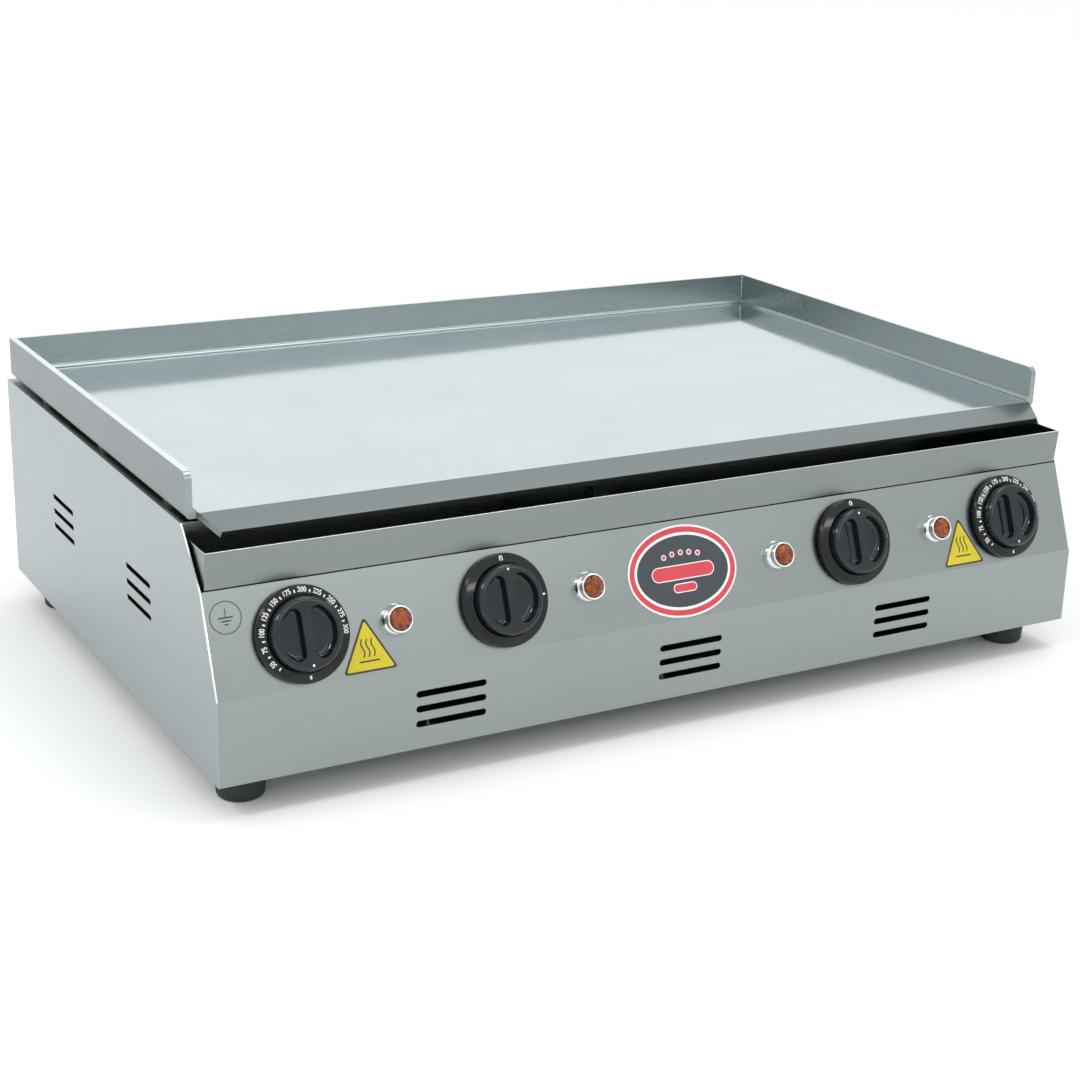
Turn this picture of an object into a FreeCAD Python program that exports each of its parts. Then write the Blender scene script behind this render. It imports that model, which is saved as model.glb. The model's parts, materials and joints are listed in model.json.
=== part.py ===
"""Countertop electric griddle: folded steel plate, sheet casing, drip tray, controls and heaters.

Millimetres. The pieces are drawn in the casing's frame: X to the right, Y to the rear with 0 at the middle
of the casing's depth, Z up with 0 at the underside of the casing. The last step moves them all so that the
origin is under the middle of the whole object, on the surface that the feet stand on.
"""
import FreeCAD, Part
import math
import os
import Sketcher

Vector = FreeCAD.Vector
Rotation = FreeCAD.Rotation
Placement = FreeCAD.Placement

# Driving sizes: alias, value, what it is
SIZES = (
    ("body_width", 700, "casing, over the side panels"),
    ("body_depth", 455, "casing, front face to rear face"),
    ("bend_height", 58, "where the control panel starts to lean back"),
    ("panel_height", 122, "top of the control panel"),
    ("panel_back", 25, "how far the panel leans back by its top"),
    ("side_height", 158, "top of the side and rear panels"),
    ("side_back", 56.5, "top front corner of a side panel, behind the front face"),
    ("sheet", 1.2, "casing sheet"),
    ("flange", 20, "width of the folded flanges at the top"),
    ("base_flange", 50, "width of the front and rear panels' bottom flanges"),
    ("fit_gap", 0.3, "gap between faces that move past each other"),
    ("bolt_gap", 0.1, "radial clearance of a bolt in its hole"),
    ("shaft_gap", 0.05, "radial clearance of a shaft in its bore"),
    ("foot_height", 24, "rubber foot"),
    ("foot_radius", 17.5, "rubber foot at its top"),
    ("foot_taper", 1.5, "how much smaller the foot's radius is at the bottom"),
    ("foot_edge", 3, "rounding of the foot's bottom rim"),
    ("foot_inset_x", 28, "foot centre from the casing's side"),
    ("foot_inset_front", 36, "foot centre from the casing's front"),
    ("foot_inset_rear", 31.5, "foot centre from the casing's rear"),
    ("foot_recess_radius", 7, "recess for the screw's head in the foot"),
    ("foot_recess_depth", 11, "depth of that recess"),
    ("plate_gap", 2.4, "plate underside above the side panels"),
    ("plate_inset", 3, "plate wall inside the casing's side"),
    ("plate_rear_inset", 1.3, "plate rear wall inside the casing's rear"),
    ("plate", 4.6, "griddle plate steel"),
    ("wall_height", 30.6, "plate walls, from the plate's underside"),
    ("wall_front", 54, "front end of the plate's side walls, behind the front face"),
    ("plate_edge", 3, "outside rounding where the plate's floor meets its walls"),
    ("plate_fillet", 3.5, "inside radius where the plate's floor meets its walls"),
    ("wall_corner", 6, "rounding of a wall's front top corner"),
    ("apron", 3.5, "flat of the plate ahead of its walls"),
    ("lip_run", 19, "lip, forward from its bend"),
    ("lip_drop", 7.7, "lip, down from its bend"),
    ("lip_inset", 7, "apron end inside the wall's outer face"),
    ("lip_taper", 10, "how much the lip narrows at each end"),
    ("m6_radius", 3, "M6 stud or screw"),
    ("m6_nut", 5.8, "M6 nut, centre to corner"),
    ("m6_nut_height", 5, "M6 nut"),
    ("stud_inset", 14, "plate stud from the casing's side"),
    ("spacer_radius", 6, "spacer under the plate"),
    ("rail_behind", 56.5, "front rail, behind the front face"),
    ("rail_drop", 7, "front rail's turned-down edge"),
    ("rail_width", 30, "front rail's top"),
    ("guide_x", -43, "middle of the tray guide"),
    ("guide_width", 10, "tray guide"),
    ("guide_depth", 12, "tray guide"),
    ("guide_drop", 24, "tray guide, below the rail"),
    ("shelf_depth", 108, "from the shelf's front edge to the splash guard"),
    ("guard_height", 29, "splash guard behind the tray"),
    ("runner_width", 12, "tray runner"),
    ("runner_height", 1.9, "tray runner"),
    ("tray_side_gap", 1.8, "tray to side panel"),
    ("tray_front", 22, "tray's top front edge, behind the front face"),
    ("tray_lean", 2.5, "how far the tray's front leans forward"),
    ("tray_height", 25, "tray"),
    ("tray_depth", 106, "tray, from its top front edge"),
    ("tray_rear_height", 8, "tray's rear wall"),
    ("tray_ramp", 34, "length of the ramp down to the rear wall"),
    ("slot_radius", 1.9, "half the height of a vent slot"),
    ("front_slot_radius", 2.3, "half the height of a vent slot in the front"),
    ("front_slot_length", 51.5, "vent slot in the front"),
    ("front_slot_pitch", 10.5, "vent slots in the front, one above the other"),
    ("front_slot_height", 28, "middle vent slot in the front"),
    ("front_slot_spread", 187.5, "from one group of front slots to the next"),
    ("side_slot_length", 50, "vent slot in a side"),
    ("side_slot_pitch", 11.3, "vent slots in a side"),
    ("side_slot_height", 83.3, "middle vent slot in a side"),
    ("side_slot_middle", 3.3, "half way between the two groups, behind the casing's middle"),
    ("side_slot_spread", 171, "from one group of side slots to the other"),
    ("base_slot_pitch", 22, "cooling slots in the bottom"),
    ("base_slot_length", 90, "cooling slot in the bottom"),
    ("knob_pitch", 144.25, "from the middle to a selector, and from there to the thermostat"),
    ("knob_up", 33.5, "knob axis, up the slope from the bend"),
    ("dial_radius", 31.5, "dial ring"),
    ("dial_base", 2, "dial's foot, off the panel"),
    ("dial_thick", 5, "dial ring"),
    ("dial_foot_radius", 27.5, "dial's foot"),
    ("dial_floor", 2.4, "dial's floor under the cap, off the panel"),
    ("dial_edge", 1.2, "rounding of the dial's rim"),
    ("cap_radius", 24.2, "knob cap at its base"),
    ("cap_gap", 0.5, "cap in the dial's bore"),
    ("cap_height", 11.8, "knob cap"),
    ("cap_taper", 2, "lean of the cap's side, in degrees"),
    ("cap_edge", 3, "rounding of the cap's rim"),
    ("grip_width", 6.4, "grip across the cap"),
    ("scoop_radius", 19, "outer edge of the finger recesses"),
    ("scoop_depth", 7, "finger recesses"),
    ("scoop_corner", 4.5, "rounding of the recess ends"),
    ("shaft_radius", 3, "control shafts"),
    ("shaft_bore_depth", 4.5, "shaft inside the cap"),
    ("shaft_length", 30, "shaft behind the cap"),
    ("thermostat_size", 38, "thermostat housing"),
    ("thermostat_depth", 30, "thermostat housing"),
    ("selector_size", 44, "selector switch housing"),
    ("selector_depth", 42, "selector switch housing"),
    ("control_collar", 8, "radius of a control's threaded collar"),
    ("collar_height", 2, "collar, through the panel"),
    ("lamp_offset", 65.9, "outer lamp, in from the thermostat's axis"),
    ("lamp_up", 32.8, "lamp axis, up the slope from the bend"),
    ("lamp_hole", 7.7, "panel hole for a lamp"),
    ("bezel_foot", 11, "bezel radius on the panel"),
    ("bezel_radius", 9.25, "bezel tube"),
    ("bezel_bore", 7.6, "bezel's bore"),
    ("bezel_cone", 2.6, "height of the bezel's cone"),
    ("bezel_height", 8.4, "bezel off the panel"),
    ("lens_radius", 7.5, "lamp lens"),
    ("lens_rise", 3.2, "lens above the bezel"),
    ("lens_top", 4.2, "flat top of the lens"),
    ("lens_facets", 8, "flats around the lens"),
    ("lamp_body", 26, "lamp behind the panel"),
    ("lamp_nut", 3, "height of a lamp's nut"),
    ("badge_half_width", 44.7, "oval badge"),
    ("badge_half_height", 32.3, "oval badge"),
    ("badge_x", -2.5, "badge centre, from the casing's middle"),
    ("badge_up", 33, "badge centre, up the slope"),
    ("badge_thick", 0.6, "oval badge"),
    ("warning_side", 38.5, "warning triangle's base"),
    ("warning_rise", 36, "warning triangle's height"),
    ("warning_base", 2.4, "triangle's base above the bend"),
    ("warning_offset", 43.5, "triangle centre, in from the thermostat's axis"),
    ("label_thick", 0.3, "warning label"),
    ("element_radius", 4, "heating element tube"),
    ("element_pitch", 52, "between the element's runs"),
    ("element_runs", 6, "straight runs of one element"),
    ("element_gap", 40, "first run from the middle"),
    ("element_front", 187.5, "where the element's front bends start, behind the front face"),
    ("element_rear", 56, "where the rear bends start, ahead of the rear face"),
    ("element_tail", 35, "straight ends ahead of the front bends"),
    ("terminal_pin", 2, "element's terminal pin radius"),
    ("clamp_width", 14, "clamp bar"),
    ("clamp_thick", 3, "clamp bar"),
    ("clamp_spread", 110, "between the two clamp bars"),
    ("bulb_radius", 3, "thermostat bulb"),
    ("bulb_length", 110, "thermostat bulb"),
    ("capillary_radius", 0.9, "thermostat capillary"),
    ("insulation", 14, "insulation blanket"),
    ("insulation_drop", 33, "underside of the blanket, below the plate's underside"),
    ("partition_gap", 1.5, "partition ahead of the splash guard's face"),
    ("gland_x", -290, "cable gland"),
    ("gland_z", 32, "cable gland"),
    ("gland_radius", 8, "gland's thread"),
    ("gland_bore", 4.5, "gland's bore"),
    ("gland_hex", 11, "gland's hexagon, centre to corner"),
    ("gland_reach", 22, "gland behind the rear panel"),
    ("earth_x", -235, "bonding stud"),
    ("earth_reach", 15, "bonding stud behind the rear panel"),
    ("block_width", 66, "mains terminal block"),
    ("block_depth", 26, "mains terminal block"),
    ("block_height", 24, "mains terminal block"),
    ("block_ways", 5, "ways of the terminal block"),
    ("loom_radius", 4.5, "wiring loom"),
    ("lead_radius", 2.2, "leads to one device"),
    ("screw_radius", 2, "casing screw"),
    ("screw_head", 4, "casing screw's head"),
    ("screw_length", 9, "casing screw"),
    ("screw_inset", 36, "casing screws from the front or rear face"),
)

# Formulas that several pieces share
FRONT = "(-dim.body_depth / 2)"
REAR = "(dim.body_depth / 2)"
INNER_WIDTH = "(dim.body_width - 2 * dim.sheet)"
UNDERSIDE = "(dim.side_height + dim.plate_gap)"
SHELF_TOP = "(dim.panel_height - dim.sheet)"
TRAY_BOTTOM = "(dim.panel_height - dim.sheet + dim.runner_height + dim.fit_gap)"
TRAY_WIDTH = "(dim.body_width - 2 * dim.sheet - 2 * dim.tray_side_gap)"
GUARD = "(-dim.body_depth / 2 + dim.panel_back + dim.shelf_depth)"
PLATE_HALF = "(dim.body_width / 2 - dim.plate_inset)"
PLATE_REAR = "(dim.body_depth / 2 - dim.plate_rear_inset)"
WALL_FRONT = "(-dim.body_depth / 2 + dim.wall_front)"
BLANKET_FRONT = f"({GUARD} + dim.sheet + dim.flange / 2)"
BLANKET_LENGTH = f"({REAR} - dim.flange - {BLANKET_FRONT})"

doc = FreeCAD.newDocument("griddle")
dim = doc.addObject("Spreadsheet::Sheet", "dim")


def fill_sheet():
    for row, (alias, value, meaning) in enumerate(SIZES, 1):
        dim.set(f"A{row}", alias)
        dim.set(f"B{row}", str(value))
        dim.setAlias(f"B{row}", alias)
        dim.set(f"C{row}", meaning)
    doc.recompute()


# ---- helpers -------------------------------------------------------------------------------------


def bind(item, **formulas):
    """Tie the item's properties to formulas in the sheet's names."""
    for name, formula in formulas.items():
        item.setExpression(name.replace("__", "."), formula)
    return item


def place(item, x=0, y=0, z=0, axis=Vector(0, 0, 1), angle=0):
    item.Placement = Placement(Vector(x, y, z), Rotation(axis, angle))
    return item


def polygon(sketch, points, closed=True):
    """Lines through the points, each a pair of formulas, held by distances from the origin."""
    count = len(points)
    turn = 2 * math.pi / count
    start = [Vector(math.cos(turn * i), math.sin(turn * i), 0) for i in range(count)]
    last = count if closed else count - 1
    for i in range(last):
        sketch.addGeometry(Part.LineSegment(start[i], start[(i + 1) % count]))
    for i in range(last if closed else last - 1):
        sketch.addConstraint(Sketcher.Constraint("Coincident", i, 2, (i + 1) % last, 1))
    for i, (x, y) in enumerate(points):
        line, end = (i, 1) if i < last else (last - 1, 2)
        for kind, formula in (("DistanceX", x), ("DistanceY", y)):
            held = sketch.addConstraint(Sketcher.Constraint(kind, -1, 1, line, end, 0.0))
            sketch.setExpression(f"Constraints[{held}]", formula)


def circle(sketch, x, y, radius):
    """A circle, centre and radius given as formulas."""
    ring = sketch.addGeometry(Part.Circle(Vector(1, 1, 0), Vector(0, 0, 1), 1))
    for kind, formula in (("DistanceX", x), ("DistanceY", y)):
        held = sketch.addConstraint(Sketcher.Constraint(kind, -1, 1, ring, 3, 0.0))
        sketch.setExpression(f"Constraints[{held}]", formula)
    held = sketch.addConstraint(Sketcher.Constraint("Radius", ring, 1.0))
    sketch.setExpression(f"Constraints[{held}]", radius)


def slot(sketch, x, y, length, radius, upright=False):
    """A slot with round ends, its numbers worked out from the sheet by the caller."""
    run = Vector(0, 1, 0) if upright else Vector(1, 0, 0)
    side = Vector(-run.y, run.x, 0)
    half = length / 2 - radius
    ends = (Vector(x, y, 0) + run * half, Vector(x, y, 0) - run * half)
    for centre, outward in ((ends[0], run), (ends[1], run * -1)):
        tip = centre + outward * radius
        sketch.addGeometry(Part.Arc(centre + side * radius, tip, centre - side * radius))
    for across in (side * radius, side * -radius):
        sketch.addGeometry(Part.LineSegment(ends[0] + across, ends[1] + across))


def plane_sketch(name, plane):
    """A free sketch lying in XY, XZ (drawn in X and Z) or YZ (drawn in Y and Z)."""
    sketch = doc.addObject("Sketcher::SketchObject", name)
    turns = {
        "XY": Rotation(),
        "XZ": Rotation(Vector(1, 0, 0), 90),
        "YZ": Rotation(Vector(1, 1, 1), 120),
    }
    sketch.Placement = Placement(Vector(), turns[plane])
    return sketch


def body_sketch(body, role, name):
    """A sketch attached to one of the body's own origin planes."""
    sketch = body.newObject("Sketcher::SketchObject", name)
    plane = next(item for item in body.Origin.OriginFeatures if item.Role == role)
    sketch.AttachmentSupport = (plane, [""])
    sketch.MapMode = "FlatFace"
    return sketch


def extrude(name, base, direction, length, middle=False):
    """Extrude by a formula's length, to one side or about the middle."""
    item = doc.addObject("Part::Extrusion", name)
    item.Base = base
    item.DirMode = "Custom"
    item.Dir = direction
    item.Symmetric = middle
    item.Solid = True
    bind(item, LengthFwd=length)
    return item


def folded(name, plane, points, length, thick="dim.sheet", middle=True, outside=1):
    """A sheet folded along the points, which lie on its outer face."""
    sketch = plane_sketch(name + "_path", plane)
    polygon(sketch, points, closed=False)
    skin = doc.addObject("Part::Offset2D", name + "_skin")
    skin.Source = sketch
    skin.Mode = "Skin"
    skin.Join = "Intersection"
    skin.Fill = True
    bind(skin, Value=f"{outside} * {thick}")
    normal = {"XY": Vector(0, 0, 1), "XZ": Vector(0, 1, 0), "YZ": Vector(1, 0, 0)}[plane]
    return extrude(name, skin, normal, length, middle)


def box(name, width, depth, height):
    return bind(doc.addObject("Part::Box", name), Length=width, Width=depth, Height=height)


def rod(name, radius, height):
    return bind(doc.addObject("Part::Cylinder", name), Radius=radius, Height=height)


def hexagon(name, radius, height):
    item = doc.addObject("Part::Prism", name)
    item.Polygon = 6
    return bind(item, Circumradius=radius, Height=height)


def cone(name, radius_low, radius_high, height):
    return bind(doc.addObject("Part::Cone", name), Radius1=radius_low, Radius2=radius_high, Height=height)


def fuse(name, items):
    item = doc.addObject("Part::MultiFuse", name)
    item.Shapes = items
    item.Refine = True
    return item


def cut(name, base, tools):
    item = doc.addObject("Part::Cut", name)
    item.Base = base
    item.Tool = tools[0] if len(tools) == 1 else group(name + "_tools", tools)
    item.Refine = True
    return item


def group(name, items):
    item = doc.addObject("Part::Compound", name)
    item.Links = items
    return item


def round_edges(name, base, radius, wanted):
    """Fillet the base's edges that the test picks."""
    doc.recompute()
    item = doc.addObject("Part::Fillet", name)
    item.Base = base
    item.Edges = [(i, radius, radius) for i, edge in enumerate(base.Shape.Edges, 1) if wanted(edge)]
    return item


def picked(shape, wanted):
    return [f"Edge{i}" for i, edge in enumerate(shape.Edges, 1) if wanted(edge)]


def along(edge, axis):
    """True for a straight edge that runs along the axis."""
    if edge.Curve.TypeId != "Part::GeomLine":
        return False
    return abs(edge.tangentAt(edge.FirstParameter).dot(axis)) > 0.999


def is_round(edge):
    return edge.Curve.TypeId == "Part::GeomCircle"


def is_bottom_rim(edge):
    return is_round(edge) and edge.BoundBox.ZMax < 0.01


# ---- the sloping control panel's own frame -------------------------------------------------------


def lean():
    """The panel's lean from upright, in radians."""
    return math.atan2(dim.panel_back, dim.panel_height - dim.bend_height)


def on_panel(item, x, up, out=0):
    """Place a piece drawn about Z on the slope: Z points out of the panel and Y up it."""
    y = -dim.body_depth / 2 + up * math.sin(lean()) - out * math.cos(lean())
    z = dim.bend_height + up * math.cos(lean()) + out * math.sin(lean())
    return place(item, x, y, z, Vector(1, 0, 0), 90 - math.degrees(lean()))


def panel_point(x, up, out):
    y = -dim.body_depth / 2 + up * math.sin(lean()) - out * math.cos(lean())
    z = dim.bend_height + up * math.cos(lean()) + out * math.sin(lean())
    return Vector(x, y, z)


def sides():
    return (("left", -1), ("right", 1))


# ---- casing --------------------------------------------------------------------------------------


def slots_tool(name, plane, centres, length, radius, upright=False):
    """Cutters for the vent slots with these centres in the plane's own two axes."""
    sketch = plane_sketch(name + "_sketch", plane)
    for x, y in centres:
        slot(sketch, x, y, length, radius, upright)
    normal = {"XY": Vector(0, 0, 1), "XZ": Vector(0, 1, 0), "YZ": Vector(1, 0, 0)}[plane]
    return extrude(name, sketch, normal, "12 * dim.sheet", True)


def control_panel():
    path = (
        (f"{FRONT} + dim.base_flange", "0"),
        (FRONT, "0"),
        (FRONT, "dim.bend_height"),
        (f"{FRONT} + dim.panel_back", "dim.panel_height"),
        (f"{FRONT} + dim.panel_back + dim.flange / 2", "dim.panel_height"),
    )
    sheet = folded("control_panel_sheet", "YZ", path, INNER_WIDTH)
    centres = []
    for column in (-1, 0, 1):
        for row in (-1, 0, 1):
            x = column * dim.front_slot_spread
            centres.append((x, dim.front_slot_height + row * dim.front_slot_pitch))
    vents = slots_tool("front_vents", "XZ", centres, dim.front_slot_length, dim.front_slot_radius)
    place(vents, 0, -dim.body_depth / 2, 0)
    tools = [vents]
    for kind, side, x in controls():
        hole = rod(f"{kind}_hole_{side}", "dim.control_collar + dim.bolt_gap", "4 * dim.sheet")
        tools.append(on_panel(hole, x, dim.knob_up, -2 * dim.sheet))
    for number, x in lamps():
        hole = rod(f"lamp_hole_{number}", "dim.lamp_hole", "4 * dim.sheet")
        tools.append(on_panel(hole, x, dim.lamp_up, -2 * dim.sheet))
    tools += foot_holes("front", True) + screw_holes("front", -1)
    return cut("control_panel", sheet, tools)


def foot_places():
    x = dim.body_width / 2 - dim.foot_inset_x
    front = -dim.body_depth / 2 + dim.foot_inset_front
    rear = dim.body_depth / 2 - dim.foot_inset_rear
    return {
        "front_left": (-x, front),
        "front_right": (x, front),
        "rear_left": (-x, rear),
        "rear_right": (x, rear),
    }


def foot_holes(owner, front_only=None):
    """Cutters for the foot screws: those of the front pair, the rear pair or all four."""
    tools = []
    for name, (x, y) in foot_places().items():
        if front_only is None or front_only == name.startswith("front"):
            hole = rod(f"{owner}_hole_{name}", "dim.m6_radius + dim.bolt_gap", "6 * dim.sheet")
            tools.append(place(hole, x, y, -dim.sheet))
    return tools


def screw_places():
    """Casing screws in the bottom, three along the front and three along the rear."""
    y = dim.body_depth / 2 - dim.screw_inset
    return [(column * dim.front_slot_spread, sign * y) for sign in (-1, 1) for column in (-1, 0, 1)]


def screw_holes(owner, end=None):
    """Cutters for the casing screws: -1 for the front ones, 1 for the rear ones, or all."""
    tools = []
    for i, (x, y) in enumerate(screw_places()):
        if end is None or y * end > 0:
            hole = rod(f"{owner}_screw_hole_{i}", "dim.screw_radius + dim.bolt_gap", "6 * dim.sheet")
            tools.append(place(hole, x, y, -dim.sheet))
    return tools


def stud_places():
    """Studs that hold the plate down, three along each side."""
    x = dim.body_width / 2 - dim.stud_inset
    step = dim.body_depth * 0.3
    return [(sign * x, row * step + dim.flange) for sign in (-1, 1) for row in (-1, 0, 1)]


def side_panel(side, sign):
    outline = plane_sketch(f"side_{side}_outline", "YZ")
    polygon(outline, (
        (FRONT, "0"),
        (FRONT, "dim.bend_height"),
        (f"{FRONT} + dim.panel_back", "dim.panel_height"),
        (f"{FRONT} + dim.side_back", "dim.side_height"),
        (REAR, "dim.side_height"),
        (REAR, "0"),
    ))
    wall = extrude(f"side_{side}_wall", outline, Vector(1, 0, 0), "dim.sheet")
    place(wall, dim.body_width / 2 - dim.sheet if sign > 0 else -dim.body_width / 2)
    length = "dim.body_depth - dim.rail_behind - dim.rail_width - dim.sheet"
    flange = box(f"side_{side}_flange", "dim.flange", length, "dim.sheet")
    x = dim.body_width / 2 - dim.flange if sign > 0 else -dim.body_width / 2
    y = -dim.body_depth / 2 + dim.rail_behind + dim.rail_width
    place(flange, x, y, dim.side_height - dim.sheet)
    centres = []
    for column in (-1, 1):
        for row in (-1, 0, 1):
            y = dim.side_slot_middle + column * dim.side_slot_spread / 2
            centres.append((y, dim.side_slot_height + row * dim.side_slot_pitch))
    vents = slots_tool(f"side_{side}_vents", "YZ", centres, dim.side_slot_length, dim.slot_radius)
    place(vents, sign * dim.body_width / 2)
    tools = [vents]
    for i, (x, y) in enumerate(stud_places()):
        if x * sign > 0:
            hole = rod(f"side_{side}_hole_{i}", "dim.m6_radius + dim.bolt_gap", "4 * dim.sheet")
            tools.append(place(hole, x, y, dim.side_height - 2 * dim.sheet))
    return cut(f"side_panel_{side}", fuse(f"side_{side}_blank", [wall, flange]), tools)


def rear_panel():
    path = (
        (f"{REAR} - dim.base_flange", "0"),
        (REAR, "0"),
        (REAR, "dim.side_height"),
        (f"{REAR} - dim.flange / 2", "dim.side_height"),
    )
    width = f"{INNER_WIDTH} - 2 * dim.flange"
    sheet = folded("rear_sheet", "YZ", path, width, outside=-1)
    wings = []
    for side, sign in sides():
        low = box(f"rear_wing_{side}", "dim.flange", "dim.sheet", "dim.side_height - dim.sheet")
        x = dim.body_width / 2 - dim.sheet - dim.flange if sign > 0 else dim.sheet - dim.body_width / 2
        wings.append(place(low, x, dim.body_depth / 2 - dim.sheet, 0))
        foot = box(f"rear_foot_{side}", "dim.flange", "dim.base_flange", "dim.sheet")
        wings.append(place(foot, x, dim.body_depth / 2 - dim.base_flange, 0))
        turn = box(f"rear_turn_{side}", "dim.sheet", "dim.flange", "dim.side_height - 4 * dim.sheet")
        x = dim.body_width / 2 - 2 * dim.sheet if sign > 0 else dim.sheet - dim.body_width / 2
        wings.append(place(turn, x, dim.body_depth / 2 - dim.flange, 2 * dim.sheet))
    blank = fuse("rear_blank", [sheet] + wings)
    centres = []
    for column in (-1, 1):
        for row in (-1, 0, 1):
            z = dim.side_slot_height + row * dim.side_slot_pitch
            centres.append((column * dim.front_slot_spread, z))
    vents = slots_tool("rear_vents", "XZ", centres, dim.side_slot_length, dim.slot_radius)
    tools = [place(vents, 0, dim.body_depth / 2, 0)]
    for name, x, z, radius in rear_fittings():
        hole = rod(f"rear_hole_{name}", f"{radius} + dim.bolt_gap", "8 * dim.sheet")
        tools.append(place(hole, x, dim.body_depth / 2 + 4 * dim.sheet, z, Vector(1, 0, 0), 90))
    tools += foot_holes("rear", False) + screw_holes("rear", 1)
    return cut("rear_panel", blank, tools)


def rear_fittings():
    """Holes in the rear panel: name, x, z and the formula of the bolt's radius."""
    return (
        ("gland", dim.gland_x, dim.gland_z, "dim.gland_radius"),
        ("earth", dim.earth_x, dim.gland_z, "dim.m6_radius"),
    )


def bottom_pan():
    half = f"{INNER_WIDTH} / 2"
    path = (
        (f"-{half}", "dim.sheet + dim.flange"),
        (f"-{half}", "dim.sheet"),
        (half, "dim.sheet"),
        (half, "dim.sheet + dim.flange"),
    )
    depth = "dim.body_depth - 2 * dim.sheet - 2 * dim.flange"
    sheet = folded("pan_sheet", "XZ", path, depth, outside=1)
    skirt = box("pan_skirt", f"{INNER_WIDTH} - 4 * dim.sheet", "dim.body_depth - 2 * dim.sheet", "dim.sheet")
    place(skirt, -dim.body_width / 2 + 3 * dim.sheet, -dim.body_depth / 2 + dim.sheet, dim.sheet)
    blank = fuse("pan_blank", [sheet, skirt])
    centres = []
    for column in (-1, 1):
        for step in range(-4, 5):
            centres.append((column * dim.front_slot_spread + step * dim.base_slot_pitch, dim.flange))
    vents = slots_tool("pan_vents", "XY", centres, dim.base_slot_length, dim.slot_radius, True)
    return cut("bottom_pan", blank, [vents] + foot_holes("pan") + screw_holes("pan"))


def partition():
    height = f"{SHELF_TOP} - 3 * dim.sheet"
    wall = box("partition_wall", INNER_WIDTH + " - 2 * dim.sheet", "dim.sheet", height)
    y = partition_y()
    place(wall, -dim.body_width / 2 + 2 * dim.sheet, y, 2 * dim.sheet)
    tools = []
    for name, (x, z) in loom_holes().items():
        hole = rod(f"partition_hole_{name}", "2 * dim.loom_radius", "6 * dim.sheet")
        tools.append(place(hole, x, y + 3 * dim.sheet, z, Vector(1, 0, 0), 90))
    return cut("partition", wall, tools)


def partition_y():
    return guard_y() - dim.partition_gap - dim.sheet


def loom_holes():
    """Where the wiring and the two capillaries pass the partition."""
    return {
        "loom": (dim.gland_x / 5, dim.gland_z),
        "left": (-1.5 * dim.knob_pitch, dim.gland_z),
        "right": (1.5 * dim.knob_pitch, dim.gland_z),
    }


# ---- tray and what carries it --------------------------------------------------------------------


def tray_shelf():
    """The shelf under the tray, turned up behind it as a splash guard."""
    path = (
        (f"{FRONT} + dim.panel_back + 2 * dim.sheet", SHELF_TOP),
        (GUARD, SHELF_TOP),
        (GUARD, f"{SHELF_TOP} + dim.guard_height"),
    )
    return folded("tray_shelf", "YZ", path, INNER_WIDTH, outside=1)


def tray_runners():
    strips = []
    start = -dim.body_depth / 2 + dim.panel_back + dim.flange / 2 + dim.sheet
    length = "dim.shelf_depth - dim.flange / 2 - 2 * dim.sheet"
    for side, sign in sides():
        strip = box(f"runner_{side}", "dim.runner_width", length, "dim.runner_height")
        reach = dim.body_width / 2 - dim.sheet
        x = reach - dim.runner_width if sign > 0 else -reach
        strips.append(place(strip, x, start, dim.panel_height - dim.sheet))
    return group("tray_runners", strips)


def front_rail():
    path = (
        (f"{FRONT} + dim.rail_behind", "dim.side_height - dim.rail_drop"),
        (f"{FRONT} + dim.rail_behind", "dim.side_height"),
        (f"{FRONT} + dim.rail_behind + dim.rail_width", "dim.side_height"),
    )
    return folded("front_rail", "YZ", path, INNER_WIDTH)


def tray_guide():
    low = f"{FRONT} + dim.rail_behind + 2 * dim.sheet"
    path = (
        ("dim.guide_x - dim.guide_width / 2", f"{low} + dim.guide_depth"),
        ("dim.guide_x - dim.guide_width / 2", low),
        ("dim.guide_x + dim.guide_width / 2", low),
        ("dim.guide_x + dim.guide_width / 2", f"{low} + dim.guide_depth"),
    )
    guide = folded("tray_guide", "XY", path, "dim.guide_drop", middle=False)
    return place(guide, 0, 0, dim.side_height - dim.sheet - dim.guide_drop)


def drip_tray():
    """Outer block with a leaning front, hollowed out from above."""
    body = doc.addObject("PartDesign::Body", "drip_tray")
    front = f"{FRONT} + dim.tray_front"
    rear = f"{front} + dim.tray_depth"
    top = f"{TRAY_BOTTOM} + dim.tray_height"
    outer = body_sketch(body, "YZ_Plane", "tray_outline")
    polygon(outer, (
        (f"{front} + dim.tray_lean", TRAY_BOTTOM),
        (front, top),
        (f"{rear} - dim.tray_ramp", top),
        (rear, f"{TRAY_BOTTOM} + dim.tray_rear_height"),
        (rear, TRAY_BOTTOM),
    ))
    pad = body.newObject("PartDesign::Pad", "tray_block")
    pad.Profile = outer
    pad.SideType = "Symmetric"
    bind(pad, Length=TRAY_WIDTH)
    inner = body_sketch(body, "YZ_Plane", "tray_hollow_outline")
    floor = f"{TRAY_BOTTOM} + dim.sheet"
    polygon(inner, (
        (f"{front} + dim.sheet + dim.tray_lean * (1 - dim.sheet / dim.tray_height)", floor),
        (f"{front} + dim.sheet - dim.tray_lean", f"{top} + dim.tray_height"),
        (f"{rear} - dim.sheet", f"{top} + dim.tray_height"),
        (f"{rear} - dim.sheet", floor),
    ))
    hollow = body.newObject("PartDesign::Pocket", "tray_hollow")
    hollow.Profile = inner
    hollow.SideType = "Symmetric"
    bind(hollow, Length=f"{TRAY_WIDTH} - 2 * dim.sheet")
    body.Tip = hollow
    return body


# ---- griddle plate -------------------------------------------------------------------------------


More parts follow.
